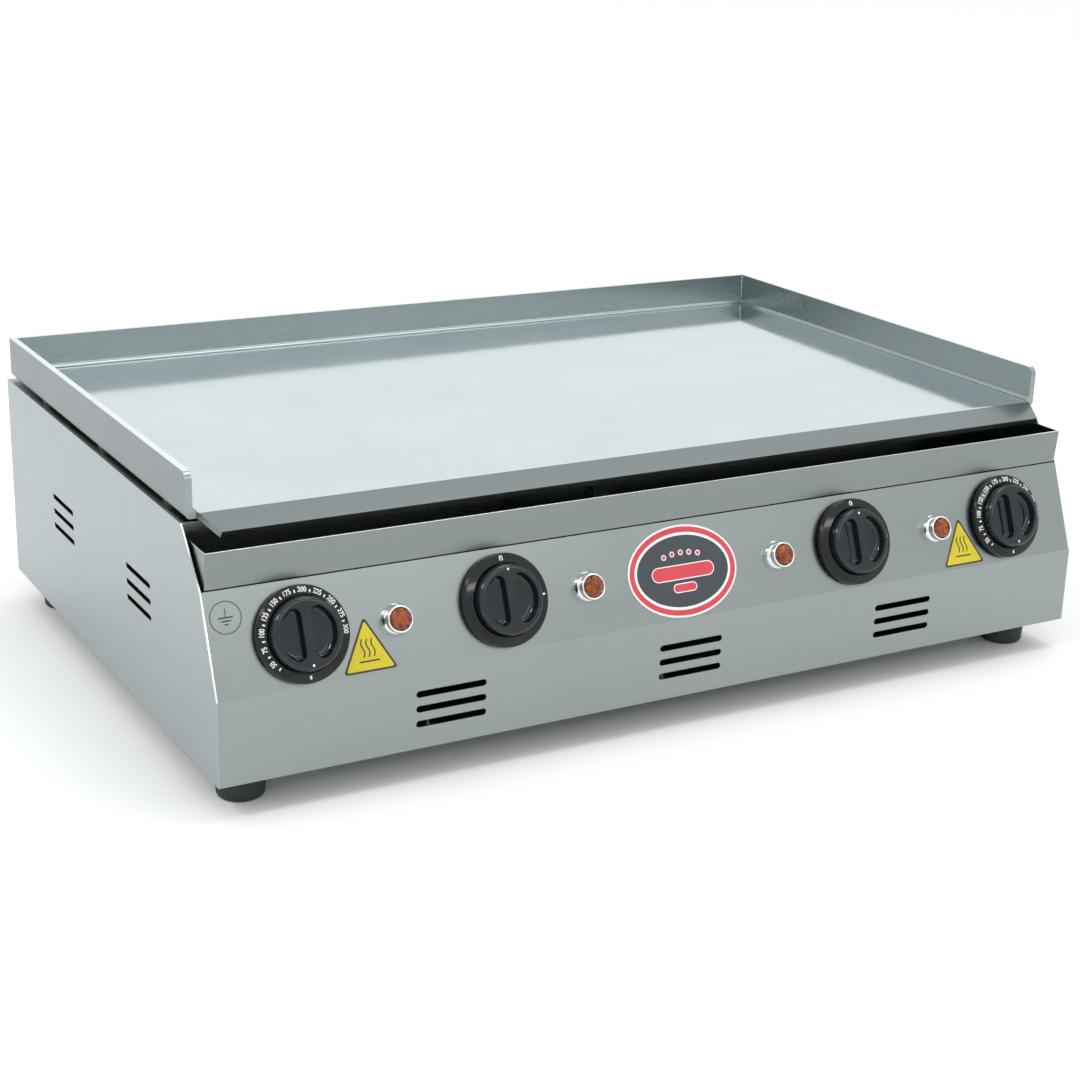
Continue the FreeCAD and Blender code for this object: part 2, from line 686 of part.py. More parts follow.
def griddle_plate():
    body = doc.addObject("PartDesign::Body", "griddle_plate")
    top = f"{UNDERSIDE} + dim.wall_height"
    outline = body_sketch(body, "YZ_Plane", "plate_outline")
    polygon(outline, (
        (WALL_FRONT, UNDERSIDE),
        (WALL_FRONT, top),
        (PLATE_REAR, top),
        (PLATE_REAR, UNDERSIDE),
    ))
    block = body.newObject("PartDesign::Pad", "plate_block")
    block.Profile = outline
    block.SideType = "Symmetric"
    bind(block, Length=f"2 * {PLATE_HALF}")
    doc.recompute()
    under = dim.side_height + dim.plate_gap
    half = dim.body_width / 2 - dim.plate_inset
    rear = dim.body_depth / 2 - dim.plate_rear_inset

    def outer_bend(edge):
        middle = edge.CenterOfMass
        if abs(middle.z - under) > 0.01:
            return False
        return abs(abs(middle.x) - half) < 0.01 or abs(middle.y - rear) < 0.01

    bends = body.newObject("PartDesign::Fillet", "plate_bends")
    bends.Base = (block, picked(block.Shape, outer_bend))
    bind(bends, Radius="dim.plate_edge")
    doc.recompute()
    hollow_outline = body_sketch(body, "YZ_Plane", "plate_hollow_outline")
    floor = f"{UNDERSIDE} + dim.plate"
    polygon(hollow_outline, (
        (f"{WALL_FRONT} - dim.plate", floor),
        (f"{WALL_FRONT} - dim.plate", f"{top} + dim.plate"),
        (f"{PLATE_REAR} - dim.plate", f"{top} + dim.plate"),
        (f"{PLATE_REAR} - dim.plate", floor),
    ))
    hollow = body.newObject("PartDesign::Pocket", "plate_hollow")
    hollow.Profile = hollow_outline
    hollow.SideType = "Symmetric"
    bind(hollow, Length=f"2 * {PLATE_HALF} - 2 * dim.plate")
    doc.recompute()

    def inner_bend(edge):
        middle = edge.CenterOfMass
        if abs(middle.z - under - dim.plate) > 0.01:
            return False
        at_side = abs(abs(middle.x) - half + dim.plate) < 0.01
        return at_side or abs(middle.y - rear + dim.plate) < 0.01

    inside = body.newObject("PartDesign::Fillet", "plate_inner_bends")
    inside.Base = (hollow, picked(hollow.Shape, inner_bend))
    bind(inside, Radius="dim.plate_fillet")
    doc.recompute()
    lip_outline = body_sketch(body, "YZ_Plane", "lip_outline")
    start = f"{WALL_FRONT} - dim.apron"
    slope = "sqrt(dim.lip_run^2 + dim.lip_drop^2)"
    drop = f"dim.plate * dim.lip_run / {slope}"
    back = f"dim.plate * dim.lip_drop / {slope}"
    shift = f"dim.plate * ({slope} - dim.lip_run) / dim.lip_drop"
    polygon(lip_outline, (
        (f"{WALL_FRONT} + dim.plate_fillet", UNDERSIDE),
        (f"{WALL_FRONT} + dim.plate_fillet", floor),
        (start, floor),
        (f"{start} - dim.lip_run", f"{floor} - dim.lip_drop"),
        (f"{start} - dim.lip_run + {back}", f"{floor} - dim.lip_drop - {drop}"),
        (f"{start} + {shift}", UNDERSIDE),
    ))
    lip = body.newObject("PartDesign::Pad", "plate_lip")
    lip.Profile = lip_outline
    lip.SideType = "Symmetric"
    bind(lip, Length=f"2 * {PLATE_HALF} - 2 * dim.lip_inset")
    doc.recompute()
    edge = f"{PLATE_HALF} - dim.lip_inset"
    bend_line = f"{WALL_FRONT} - dim.apron"
    tip = f"{bend_line} - dim.lip_run - dim.plate"
    for side, sign in (("left", "-1"), ("right", "1")):
        trim = body_sketch(body, "XY_Plane", f"lip_trim_{side}")
        polygon(trim, (
            (f"{sign} * ({edge})", f"{bend_line} + dim.apron / 2"),
            (f"{sign} * ({edge} - dim.lip_taper)", tip),
            (f"{sign} * ({edge} + dim.plate)", tip),
            (f"{sign} * ({edge} + dim.plate)", f"{bend_line} + dim.apron / 2"),
        ))
        notch = body.newObject("PartDesign::Pocket", f"lip_notch_{side}")
        notch.Profile = trim
        notch.SideType = "Symmetric"
        bind(notch, Length=f"3 * ({UNDERSIDE} + dim.plate)")
        doc.recompute()
    body.Tip = notch

    def wall_corner(edge):
        middle = edge.CenterOfMass
        high = abs(middle.z - under - dim.wall_height) < 0.01
        return along(edge, Vector(1, 0, 0)) and high and abs(middle.y - wall_front_y()) < 0.01

    corners = body.newObject("PartDesign::Fillet", "wall_corners")
    corners.Base = (notch, picked(notch.Shape, wall_corner))
    bind(corners, Radius="dim.wall_corner")
    body.Tip = corners
    return body


def wall_front_y():
    return -dim.body_depth / 2 + dim.wall_front


def plate_fixings():
    """Studs under the plate with their nuts, and the spacers between the plate and the side panels."""
    under = dim.side_height + dim.plate_gap
    studs, nuts, spacers = [], [], []
    length = "dim.plate_gap + dim.sheet + 2 * dim.m6_nut_height"
    for i, (x, y) in enumerate(stud_places()):
        stud = rod(f"hold_stud_{i}", "dim.m6_radius", length)
        drop = dim.plate_gap + dim.sheet + 2 * dim.m6_nut_height
        studs.append(place(stud, x, y, under - drop))
        ring = rod(f"spacer_ring_{i}", "dim.spacer_radius", "dim.plate_gap")
        bore = rod(f"spacer_bore_{i}", "dim.m6_radius + dim.bolt_gap", "dim.plate_gap")
        spacers.append(place(cut(f"spacer_{i}", ring, [bore]), x, y, dim.side_height))
        nut = hexagon(f"hold_hex_{i}", "dim.m6_nut", "dim.m6_nut_height")
        bore = rod(f"hold_bore_{i}", "dim.m6_radius", "dim.m6_nut_height")
        low = dim.side_height - dim.sheet - dim.m6_nut_height
        nuts.append(place(cut(f"hold_nut_{i}", nut, [bore]), x, y, low))
    clamp_low = under - 2 * dim.element_radius - dim.clamp_thick
    for i, (x, y) in enumerate(clamp_studs()):
        length = "2 * dim.element_radius + dim.clamp_thick + dim.m6_nut_height + dim.sheet"
        stud = rod(f"clamp_stud_{i}", "dim.m6_radius", length)
        low = clamp_low - dim.m6_nut_height - dim.sheet
        studs.append(place(stud, x, y, low))
        nut = hexagon(f"clamp_hex_{i}", "dim.m6_nut", "dim.m6_nut_height")
        bore = rod(f"clamp_bore_{i}", "dim.m6_radius", "dim.m6_nut_height")
        nuts.append(place(cut(f"clamp_nut_{i}", nut, [bore]), x, y, clamp_low - dim.m6_nut_height))
    return [group("plate_studs", studs), group("plate_nuts", nuts), group("plate_spacers", spacers)]


# ---- heating -------------------------------------------------------------------------------------


def run_x(i):
    return dim.element_gap + i * dim.element_pitch


def clamp_ys():
    middle = dim.body_depth / 2 - dim.element_rear - dim.clamp_spread
    return (middle - dim.clamp_spread / 2, middle + dim.clamp_spread / 2)


def clamp_studs():
    """Studs stand between the first two runs and between the last two of each element."""
    last = int(dim.element_runs) - 1
    inner = (run_x(0) + run_x(1)) / 2
    outer = (run_x(last - 1) + run_x(last)) / 2
    return [(sign * x, y) for sign in (-1, 1) for x in (inner, outer) for y in clamp_ys()]


def swept(name, wire, radius):
    """A round tube along a wire of lines and tangent arcs."""
    start = wire.OrderedVertexes[0].Point
    first = wire.OrderedEdges[0]
    tangent = first.tangentAt(first.FirstParameter)
    if (first.valueAt(first.FirstParameter) - start).Length > 0.001:
        tangent = tangent * -1
    ring = Part.Wire([Part.Circle(start, tangent, radius).toShape()])
    item = doc.addObject("Part::Feature", name)
    item.Shape = wire.makePipeShell([ring], True, False)
    return item


def heating_element(side, sign):
    """A tube bent to and fro under the plate, with a pin in each end."""
    front = -dim.body_depth / 2 + dim.element_front
    rear = dim.body_depth / 2 - dim.element_rear
    z = dim.side_height + dim.plate_gap - dim.element_radius
    bend = dim.element_pitch / 2
    runs = int(dim.element_runs)
    edges = []
    for i in range(runs):
        x = sign * run_x(i)
        low = front - dim.element_tail if i in (0, runs - 1) else front
        ends = [Vector(x, low, z), Vector(x, rear, z)]
        if i % 2:
            ends.reverse()
        edges.append(Part.LineSegment(ends[0], ends[1]).toShape())
        if i + 1 < runs:
            y, out = (rear, bend) if i % 2 == 0 else (front, -bend)
            there = sign * run_x(i + 1)
            edges.append(Part.Arc(
                Vector(x, y, z),
                Vector((x + there) / 2, y + out, z),
                Vector(there, y, z),
            ).toShape())
    tube = swept(f"element_tube_{side}", Part.Wire(edges), dim.element_radius)
    pieces = [tube]
    for end, i in (("inner", 0), ("outer", runs - 1)):
        pin = rod(f"pin_{side}_{end}", "dim.terminal_pin", "dim.element_tail / 3")
        y = front - dim.element_tail
        pieces.append(place(pin, sign * run_x(i), y, z, Vector(1, 0, 0), 90))
    return group(f"heating_element_{side}", pieces)


def clamp_bars():
    low = dim.side_height + dim.plate_gap - 2 * dim.element_radius - dim.clamp_thick
    bars = []
    span = "(dim.element_runs - 1) * dim.element_pitch + 4 * dim.element_radius"
    for side, sign in sides():
        for i, y in enumerate(clamp_ys()):
            bar = box(f"clamp_{side}_{i}_blank", span, "dim.clamp_width", "dim.clamp_thick")
            start = run_x(0) - 2 * dim.element_radius
            end = run_x(int(dim.element_runs) - 1) + 2 * dim.element_radius
            place(bar, start if sign > 0 else -end, y - dim.clamp_width / 2, low)
            tools = []
            for k, (x, stud_y) in enumerate(clamp_studs()):
                if x * sign > 0 and stud_y == y:
                    name = f"clamp_{side}_{i}_hole_{k}"
                    hole = rod(name, "dim.m6_radius + dim.bolt_gap", "3 * dim.clamp_thick")
                    tools.append(place(hole, x, y, low - dim.clamp_thick))
            bars.append(cut(f"clamp_{side}_{i}", bar, tools))
    return group("clamp_bars", bars)


def guard_y():
    return -dim.body_depth / 2 + dim.panel_back + dim.shelf_depth


def blanket_front():
    return guard_y() + dim.sheet + dim.flange / 2


def insulation():
    wide = dim.body_width / 2 - dim.flange - 2 * dim.sheet
    low = dim.side_height + dim.plate_gap - dim.insulation_drop
    pads = []
    for side, sign in sides():
        width = "dim.body_width / 2 - dim.flange - 2 * dim.sheet"
        pad = box(f"insulation_{side}", width, BLANKET_LENGTH, "dim.insulation")
        pads.append(place(pad, dim.sheet if sign > 0 else -dim.sheet - wide, blanket_front(), low))
    return group("insulation", pads)


def insulation_pan():
    """The sheet that carries the blanket, hung from flanges that reach the side panels."""
    half = "(dim.body_width / 2 - dim.flange)"
    low = f"({UNDERSIDE} - dim.insulation_drop - dim.sheet)"
    high = f"({UNDERSIDE} - dim.insulation_drop + dim.insulation)"
    path = (
        (f"-{INNER_WIDTH} / 2", high),
        (f"-{half}", high),
        (f"-{half}", low),
        (half, low),
        (half, high),
        (f"{INNER_WIDTH} / 2", high),
    )
    pan = folded("insulation_pan", "XZ", path, BLANKET_LENGTH, middle=False)
    return place(pan, 0, blanket_front(), 0)


# ---- controls ------------------------------------------------------------------------------------


def thermostat_x():
    return 2 * dim.knob_pitch


def controls():
    """Kind, side, x of each control."""
    out = []
    for side, sign in sides():
        out.append(("thermostat", side, sign * thermostat_x()))
        out.append(("selector", side, sign * dim.knob_pitch))
    return out


def dial(kind, side, x):
    """The fixed ring around a control's cap, on a thinner foot whose floor passes under the cap."""
    ring = rod(f"dial_ring_{kind}_{side}", "dim.dial_radius", "dim.dial_thick")
    place(ring, 0, 0, dim.dial_base)
    ring = round_edges(f"dial_rim_{kind}_{side}", ring, dim.dial_edge, is_round)
    foot = rod(f"dial_foot_{kind}_{side}", "dim.dial_foot_radius", "dim.dial_floor")
    whole = fuse(f"dial_whole_{kind}_{side}", [ring, foot])
    well = rod(f"dial_well_{kind}_{side}", "dim.cap_radius + dim.cap_gap", "dim.dial_base + dim.dial_thick")
    place(well, 0, 0, dim.dial_floor)
    bore = rod(f"dial_bore_{kind}_{side}", "dim.control_collar + dim.bolt_gap", "2 * dim.dial_floor")
    return on_panel(cut(f"dial_{kind}_{side}", whole, [well, bore]), x, dim.knob_up)


def cap_base():
    return dim.dial_floor + dim.fit_gap


def knob(kind, side, x):
    """The turning cap: a tapered drum with two finger recesses that leave a grip across it."""
    label = f"knob_{kind}_{side}"
    body = doc.addObject("PartDesign::Body", label)
    drum = body_sketch(body, "XY_Plane", f"{label}_drum")
    circle(drum, "0", "0", "dim.cap_radius")
    pad = body.newObject("PartDesign::Pad", f"{label}_pad")
    pad.Profile = drum
    bind(pad, Length="dim.cap_height", TaperAngle="-dim.cap_taper")
    doc.recompute()
    rim = body.newObject("PartDesign::Fillet", f"{label}_rim")
    rim.Base = (pad, picked(pad.Shape, lambda edge: edge.CenterOfMass.z > dim.cap_height - 0.01))
    bind(rim, Radius="dim.cap_edge")
    doc.recompute()
    last = rim
    for end, sign in sides():
        scoop = body_sketch(body, "XY_Plane", f"{label}_scoop_{end}")
        near = dim.grip_width / 2
        far = math.sqrt(dim.scoop_radius**2 - near**2)
        ends = (Vector(sign * near, -far, 0), Vector(sign * near, far, 0))
        scoop.addGeometry(Part.LineSegment(ends[0], ends[1]))
        scoop.addGeometry(Part.Arc(ends[1], Vector(sign * dim.scoop_radius, 0, 0), ends[0]))
        bind(scoop, AttachmentOffset__Base__z="dim.cap_height - dim.scoop_depth")
        recess = body.newObject("PartDesign::Pocket", f"{label}_recess_{end}")
        recess.Profile = scoop
        recess.Reversed = True
        bind(recess, Length="2 * dim.scoop_depth")
        doc.recompute()
        last = recess
    corner = body.newObject("PartDesign::Fillet", f"{label}_corners")

    def recess_corner(edge):
        middle = edge.CenterOfMass
        near_grip = abs(abs(middle.x) - dim.grip_width / 2) < 0.01
        return along(edge, Vector(0, 0, 1)) and near_grip

    corner.Base = (last, picked(last.Shape, recess_corner))
    bind(corner, Radius="dim.scoop_corner")
    doc.recompute()
    hole = body_sketch(body, "XY_Plane", f"{label}_bore_sketch")
    circle(hole, "0", "0", "dim.shaft_radius + dim.shaft_gap")
    bore = body.newObject("PartDesign::Pocket", f"{label}_bore")
    bore.Profile = hole
    bore.Reversed = True
    bind(bore, Length="dim.shaft_bore_depth")
    body.Tip = bore
    return on_panel(body, x, dim.knob_up, cap_base())


def shaft(kind, side, x):
    item = rod(f"shaft_{kind}_{side}", "dim.shaft_radius", "dim.shaft_length + dim.shaft_bore_depth")
    return on_panel(item, x, dim.knob_up, cap_base() - dim.shaft_length)


def control_body(kind, side, x):
    """Housing behind the panel, with a threaded collar that comes through it."""
    deep = getattr(dim, f"{kind}_depth")
    size = getattr(dim, f"{kind}_size")
    face = -dim.sheet
    housing = box(f"{kind}_block_{side}", f"dim.{kind}_size", f"dim.{kind}_size", f"dim.{kind}_depth")
    place(housing, -size / 2, -size / 2, face - deep)
    collar = rod(f"{kind}_collar_{side}", "dim.control_collar", "dim.sheet + dim.collar_height")
    place(collar, 0, 0, face)
    bore = rod(f"{kind}_bore_{side}", "dim.shaft_radius + dim.shaft_gap", "dim.shaft_length")
    place(bore, 0, 0, cap_base() - dim.shaft_length - dim.fit_gap)
    tabs = []
    for end in (-1, 1):
        for row in (-1, 0, 1):
            name = f"{kind}_tab_{side}_{end}_{row}"
            tab = box(name, "dim.sheet", "dim.shaft_radius * 2", "dim.shaft_radius * 3")
            place(tab, end * size / 3, row * size / 3 - dim.shaft_radius, face - deep - 3 * dim.shaft_radius)
            tabs.append(tab)
    whole = fuse(f"{kind}_whole_{side}", [housing, collar] + tabs)
    return on_panel(cut(f"{kind}_{side}", whole, [bore]), x, dim.knob_up)


def rounded_wire(points, bend):
    """Straight runs through the points, joined by tangent arcs of the bend's radius."""
    edges = []
    here = points[0]
    for i in range(1, len(points) - 1):
        corner = points[i]
        before = (points[i - 1] - corner).normalize()
        after = (points[i + 1] - corner).normalize()
        half = before.getAngle(after) / 2
        back = bend / math.tan(half)
        start = corner + before * back
        end = corner + after * back
        middle = corner + (before + after).normalize() * (bend / math.sin(half) - bend)
        edges.append(Part.LineSegment(here, start).toShape())
        edges.append(Part.Arc(start, middle, end).toShape())
        here = end
    edges.append(Part.LineSegment(here, points[-1]).toShape())
    return Part.Wire(edges)


def sensor(side, sign):
    """A thermostat's bulb between the element's middle runs, and its capillary to the housing."""
    x = sign * (run_x(2) + run_x(3)) / 2
    under = dim.side_height + dim.plate_gap
    bulb_z = under - dim.bulb_radius
    start = clamp_ys()[0] - dim.clamp_width
    bulb = rod(f"bulb_{side}", "dim.bulb_radius", "dim.bulb_length")
    place(bulb, x, start + dim.bulb_length, bulb_z, Vector(1, 0, 0), 90)
    hole_x, hole_z = loom_holes()[side]
    control_x = sign * thermostat_x()
    leave = panel_point(control_x, dim.knob_up, -dim.sheet - dim.thermostat_depth)
    turn = panel_point(control_x, dim.knob_up, -dim.sheet - dim.thermostat_depth - dim.thermostat_size / 2)
    riser_y = guard_y() + dim.flange / 4
    points = (
        leave,
        turn,
        Vector(hole_x, partition_y() - dim.flange, hole_z),
        Vector(hole_x, riser_y, hole_z),
        Vector(hole_x, riser_y, hole_z + dim.flange),
        Vector(x, riser_y, under - dim.insulation_drop),
        Vector(x, riser_y, bulb_z),
        Vector(x, start, bulb_z),
    )
    tube = swept(f"capillary_{side}", rounded_wire(points, dim.capillary_radius * 2.5), dim.capillary_radius)
    return group(f"sensor_{side}", [bulb, tube])


# ---- lamps and labels ----------------------------------------------------------------------------


def lamps():
    """Number and x of each lamp: one beside each thermostat, one between each selector and the badge."""
    outer = thermostat_x() - dim.lamp_offset
    inner = (dim.knob_pitch - dim.dial_radius + dim.badge_half_width) / 2
    return list(enumerate((-outer, -inner, inner, outer), 1))


def lamp_bezel(number, x):
    foot = cone(f"bezel_cone_{number}", "dim.bezel_foot", "dim.bezel_radius", "dim.bezel_cone")
    tube = rod(f"bezel_tube_{number}", "dim.bezel_radius", "dim.bezel_height")
    bore = rod(f"bezel_bore_{number}", "dim.bezel_bore", "2 * dim.bezel_height")
    whole = fuse(f"bezel_whole_{number}", [foot, tube])
    return on_panel(cut(f"lamp_bezel_{number}", whole, [bore]), x, dim.lamp_up)


def lamp_lens(number, x):
    """A round stem with a faceted crown."""
    stem = rod(f"lens_stem_{number}", "dim.lens_radius", "dim.bezel_height + 2 * dim.sheet")
    place(stem, 0, 0, -2 * dim.sheet)
    facets = int(dim.lens_facets)
    low = dim.bezel_height
    rings = []
    for radius, z in ((dim.lens_radius, low), (dim.lens_top, low + dim.lens_rise)):
        corners = []
        for i in range(facets + 1):
            angle = 2 * math.pi * i / facets
            corners.append(Vector(radius * math.cos(angle), radius * math.sin(angle), z))
        rings.append(Part.makePolygon(corners))
    crown = doc.addObject("Part::Feature", f"lens_crown_{number}")
    crown.Shape = Part.makeLoft(rings, True, True)
    return on_panel(fuse(f"lamp_lens_{number}", [stem, crown]), x, dim.lamp_up)


def lamp_bodies():
    bodies = []
    for number, x in lamps():
        barrel = rod(f"lamp_barrel_{number}", "dim.lens_radius", "dim.lamp_body")
        nut = rod(f"lamp_nut_{number}", "dim.bezel_foot", "dim.lamp_nut")
        place(barrel, 0, 0, -2 * dim.sheet - dim.lamp_body)
        place(nut, 0, 0, -dim.sheet - dim.lamp_nut)
        seat = rod(f"lamp_seat_{number}", "dim.lens_radius + dim.bolt_gap", "2 * dim.sheet")
        place(seat, 0, 0, -2 * dim.sheet)
        whole = fuse(f"lamp_whole_{number}", [barrel, nut])
        bodies.append(on_panel(cut(f"lamp_body_{number}", whole, [seat]), x, dim.lamp_up))
    return group("lamp_bodies", bodies)


def badge():
    oval = doc.addObject("Part::Ellipse", "badge_oval")
    bind(oval, MajorRadius="dim.badge_half_width", MinorRadius="dim.badge_half_height")
    return on_panel(extrude("badge", oval, Vector(0, 0, 1), "dim.badge_thick"), dim.badge_x, dim.badge_up)


def warning_labels():
    """Two triangles on the slope, one near each outer pair of controls."""
    labels = []
    for side, sign in sides():
        sketch = plane_sketch(f"warning_{side}_sketch", "XY")
        polygon(sketch, (
            ("-dim.warning_side / 2", "0"),
            ("dim.warning_side / 2", "0"),
            ("0", "dim.warning_rise"),
        ))
        label = extrude(f"warning_{side}", sketch, Vector(0, 0, 1), "dim.label_thick")
        labels.append(on_panel(label, sign * (thermostat_x() - dim.warning_offset), dim.warning_base))
    return group("warning_labels", labels)


# ---- feet, mains and fasteners -------------------------------------------------------------------


def foot(name, x, y):
    low = "dim.foot_radius - dim.foot_taper"
    block = cone(f"foot_block_{name}", low, "dim.foot_radius", "dim.foot_height")
    block = round_edges(f"foot_round_{name}", block, dim.foot_edge, is_bottom_rim)
    recess = rod(f"foot_recess_{name}", "dim.foot_recess_radius", "dim.foot_recess_depth")
    bore = rod(f"foot_bore_{name}", "dim.m6_radius + dim.bolt_gap", "dim.foot_height")
    return place(cut(f"foot_{name}", block, [recess, bore]), x, y, -dim.foot_height)


def foot_screws():
    screws = []
    seat = dim.foot_recess_depth - dim.foot_height
    for name, (x, y) in foot_places().items():
        head = rod(f"foot_head_{name}", "dim.foot_recess_radius - 2 * dim.fit_gap", "dim.m6_nut_height")
        place(head, 0, 0, seat - dim.m6_nut_height)
        shank_length = "dim.foot_height - dim.foot_recess_depth + 2 * dim.sheet + 2 * dim.m6_nut_height"
        shank = rod(f"foot_shank_{name}", "dim.m6_radius", shank_length)
        place(shank, 0, 0, seat)
        nut = hexagon(f"foot_hex_{name}", "dim.m6_nut", "dim.m6_nut_height")
        place(nut, 0, 0, 2 * dim.sheet)
        screws.append(place(fuse(f"foot_screw_{name}", [head, shank, nut]), x, y, 0))
    return group("foot_screws", screws)


def to_rear(item, x, z, out=0):
    """Place a piece drawn about Z so that Z points out of the rear panel."""
    return place(item, x, dim.body_depth / 2 + out, z, Vector(1, 0, 0), -90)


def cable_gland():
    flat = hexagon("gland_flat", "dim.gland_hex", "dim.gland_reach / 3")
    dome = cone("gland_dome", "dim.gland_hex - 1", "dim.gland_bore + 2", "dim.gland_reach * 2 / 3")
    place(dome, 0, 0, dim.gland_reach / 3)
    thread = rod("gland_thread", "dim.gland_radius", "dim.sheet + 2 * dim.m6_nut_height")
    place(thread, 0, 0, -dim.sheet - 2 * dim.m6_nut_height)
    whole = fuse("gland_whole", [flat, dome, thread])
    bore = rod("gland_bore_tool", "dim.gland_bore", "4 * dim.gland_reach")
    place(bore, 0, 0, -2 * dim.gland_reach)
    return to_rear(cut("cable_gland", whole, [bore]), dim.gland_x, dim.gland_z)


def gland_nut():
    nut = hexagon("gland_nut_hex", "dim.gland_hex", "dim.m6_nut_height")
    bore = rod("gland_nut_bore", "dim.gland_radius", "dim.m6_nut_height")
    item = cut("gland_nut", nut, [bore])
    return to_rear(item, dim.gland_x, dim.gland_z, -dim.sheet - dim.m6_nut_height)


def earth_stud():
    inside = dim.sheet + 2 * dim.m6_nut_height
    stud = rod("earth_rod", "dim.m6_radius", "dim.earth_reach + dim.sheet + 2 * dim.m6_nut_height")
    place(stud, 0, 0, -inside)
    outer = hexagon("earth_outer", "dim.m6_nut", "dim.m6_nut_height")
    inner = hexagon("earth_inner", "dim.m6_nut", "dim.m6_nut_height")
    place(inner, 0, 0, -dim.sheet - dim.m6_nut_height)
    return to_rear(fuse("earth_stud", [stud, outer, inner]), dim.earth_x, dim.gland_z)


def block_corner():
    x = dim.gland_x + dim.flange
    y = dim.body_depth / 2 - dim.base_flange - dim.flange - dim.block_depth
    return x, y, 2 * dim.sheet


def terminal_block():
    x, y, z = block_corner()
    base = box("block_base", "dim.block_width", "dim.block_depth", "dim.block_height / 2")
    ridge = box("block_ridge", "dim.block_width", "dim.block_depth / 2", "dim.block_height")
    place(ridge, 0, dim.block_depth / 4, 0)
    tools = []
    pitch = dim.block_width / dim.block_ways
    for way in range(int(dim.block_ways)):
        hole = rod(f"block_way_{way}", "dim.lead_radius + dim.bolt_gap", "dim.block_depth")
        x_way = (way + 0.5) * pitch
        tools.append(place(hole, x_way, dim.block_depth, dim.block_height / 3, Vector(1, 0, 0), 90))
        screw = rod(f"block_screw_{way}", "dim.screw_radius", "dim.block_height")
        tools.append(place(screw, x_way, dim.block_depth / 2, dim.block_height / 2))
    return place(cut("terminal_block", fuse("block_whole", [base, ridge]), tools), x, y, z)


def wiring_loom():
    """The main loom from the terminal block to the front, and a lead to each control."""
    x, y, z = block_corner()
    hole_x, hole_z = loom_holes()["loom"]
    lane = partition_y() - dim.flange
    start = Vector(x + dim.block_width / 2, y, z + dim.block_height / 3)
    points = (
        start,
        start - Vector(0, dim.flange, 0),
        Vector(hole_x, partition_y() + 2 * dim.flange, hole_z),
        Vector(hole_x, lane - dim.flange, hole_z),
    )
    pieces = [swept("loom_main", rounded_wire(points, 3 * dim.loom_radius), dim.loom_radius)]
    end = points[-1]
    for kind, side, control_x in controls():
        deep = -dim.sheet - getattr(dim, f"{kind}_depth")
        size = getattr(dim, f"{kind}_size")
        plug = panel_point(control_x, dim.knob_up - size / 4, deep)
        free = panel_point(control_x, dim.knob_up - size / 4, deep - 4 * dim.lead_radius)
        reach = 1 if control_x > hole_x else -1
        low = end.z + reach * dim.lead_radius
        route = (
            Vector(end.x + reach * dim.loom_radius * 2, end.y, low),
            Vector(free.x - reach * 4 * dim.loom_radius, end.y, low),
            free,
            plug,
        )
        pieces.append(swept(f"lead_{kind}_{side}", rounded_wire(route, 2 * dim.lead_radius), dim.lead_radius))
    return group("wiring_loom", pieces)


def base_screws():
    """Short screws that hold the bottom pan to the front and rear panels' flanges."""
    screws = []
    for i, (x, y) in enumerate(screw_places()):
        head = rod(f"screw_head_{i}", "dim.screw_head", "dim.screw_radius")
        place(head, 0, 0, -dim.screw_radius)
        shank = rod(f"screw_shank_{i}", "dim.screw_radius", "dim.screw_length")
        screws.append(place(fuse(f"base_screw_{i}", [head, shank]), x, y, 0))
    return group("base_screws", screws)


# ---- build ---------------------------------------------------------------------------------------


def build():
    nodes = [control_panel(), rear_panel(), bottom_pan(), partition()]
    nodes += [tray_shelf(), tray_runners(), front_rail(), tray_guide(), drip_tray()]
    nodes += [griddle_plate()] + plate_fixings()
    nodes += [clamp_bars(), insulation(), insulation_pan(), badge(), warning_labels(), lamp_bodies()]
    nodes += [foot_screws(), base_screws(), cable_gland(), gland_nut(), earth_stud()]
    nodes += [terminal_block(), wiring_loom()]
    for side, sign in sides():
        nodes += [side_panel(side, sign), heating_element(side, sign), sensor(side, sign)]
    for kind, side, x in controls():
        nodes += [dial(kind, side, x), knob(kind, side, x), shaft(kind, side, x), control_body(kind, side, x)]
    for number, x in lamps():
        nodes += [lamp_bezel(number, x), lamp_lens(number, x)]
    for name, (x, y) in foot_places().items():
        nodes.append(foot(name, x, y))
    return nodes


def check(nodes):
    for item in doc.Objects:
        if "Invalid" in item.State or "Error" in item.State:
            raise RuntimeError(f"{item.Label}: {item.State}")
    for node in nodes:
        if node.Shape.isNull() or not node.Shape.isValid() or not node.Shape.Solids:
            raise RuntimeError(f"{node.Label}: no valid solid")


def stand_on_origin(nodes):
    """Move every piece so that the origin is under the middle of the whole, at the feet's soles."""
    whole = FreeCAD.BoundBox()
    for node in nodes:
        whole.add(node.Shape.optimalBoundingBox(False, False))
    middle = whole.Center
    shift = Placement(Vector(-middle.x, -middle.y, -whole.ZMin), Rotation())
    for node in nodes:
        node.Placement = shift.multiply(node.Placement)
    doc.recompute()
    print("moved by", [round(value, 4) for value in shift.Base])
    print("sizes", whole.XLength, whole.YLength, whole.ZLength)


fill_sheet()
pieces = build()
doc.recompute()
check(pieces)
stand_on_origin(pieces)
check(pieces)
os.makedirs("parts", exist_ok=True)
for piece in pieces:
    piece.Shape.exportStep(f"parts/{piece.Label}.step")
print(len(pieces), "nodes")
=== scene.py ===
"""The looks of a countertop electric griddle, laid out as an add-on around its fixed CAD frame."""
import json
import math

import bmesh
import bpy
from mathutils import Matrix, Vector


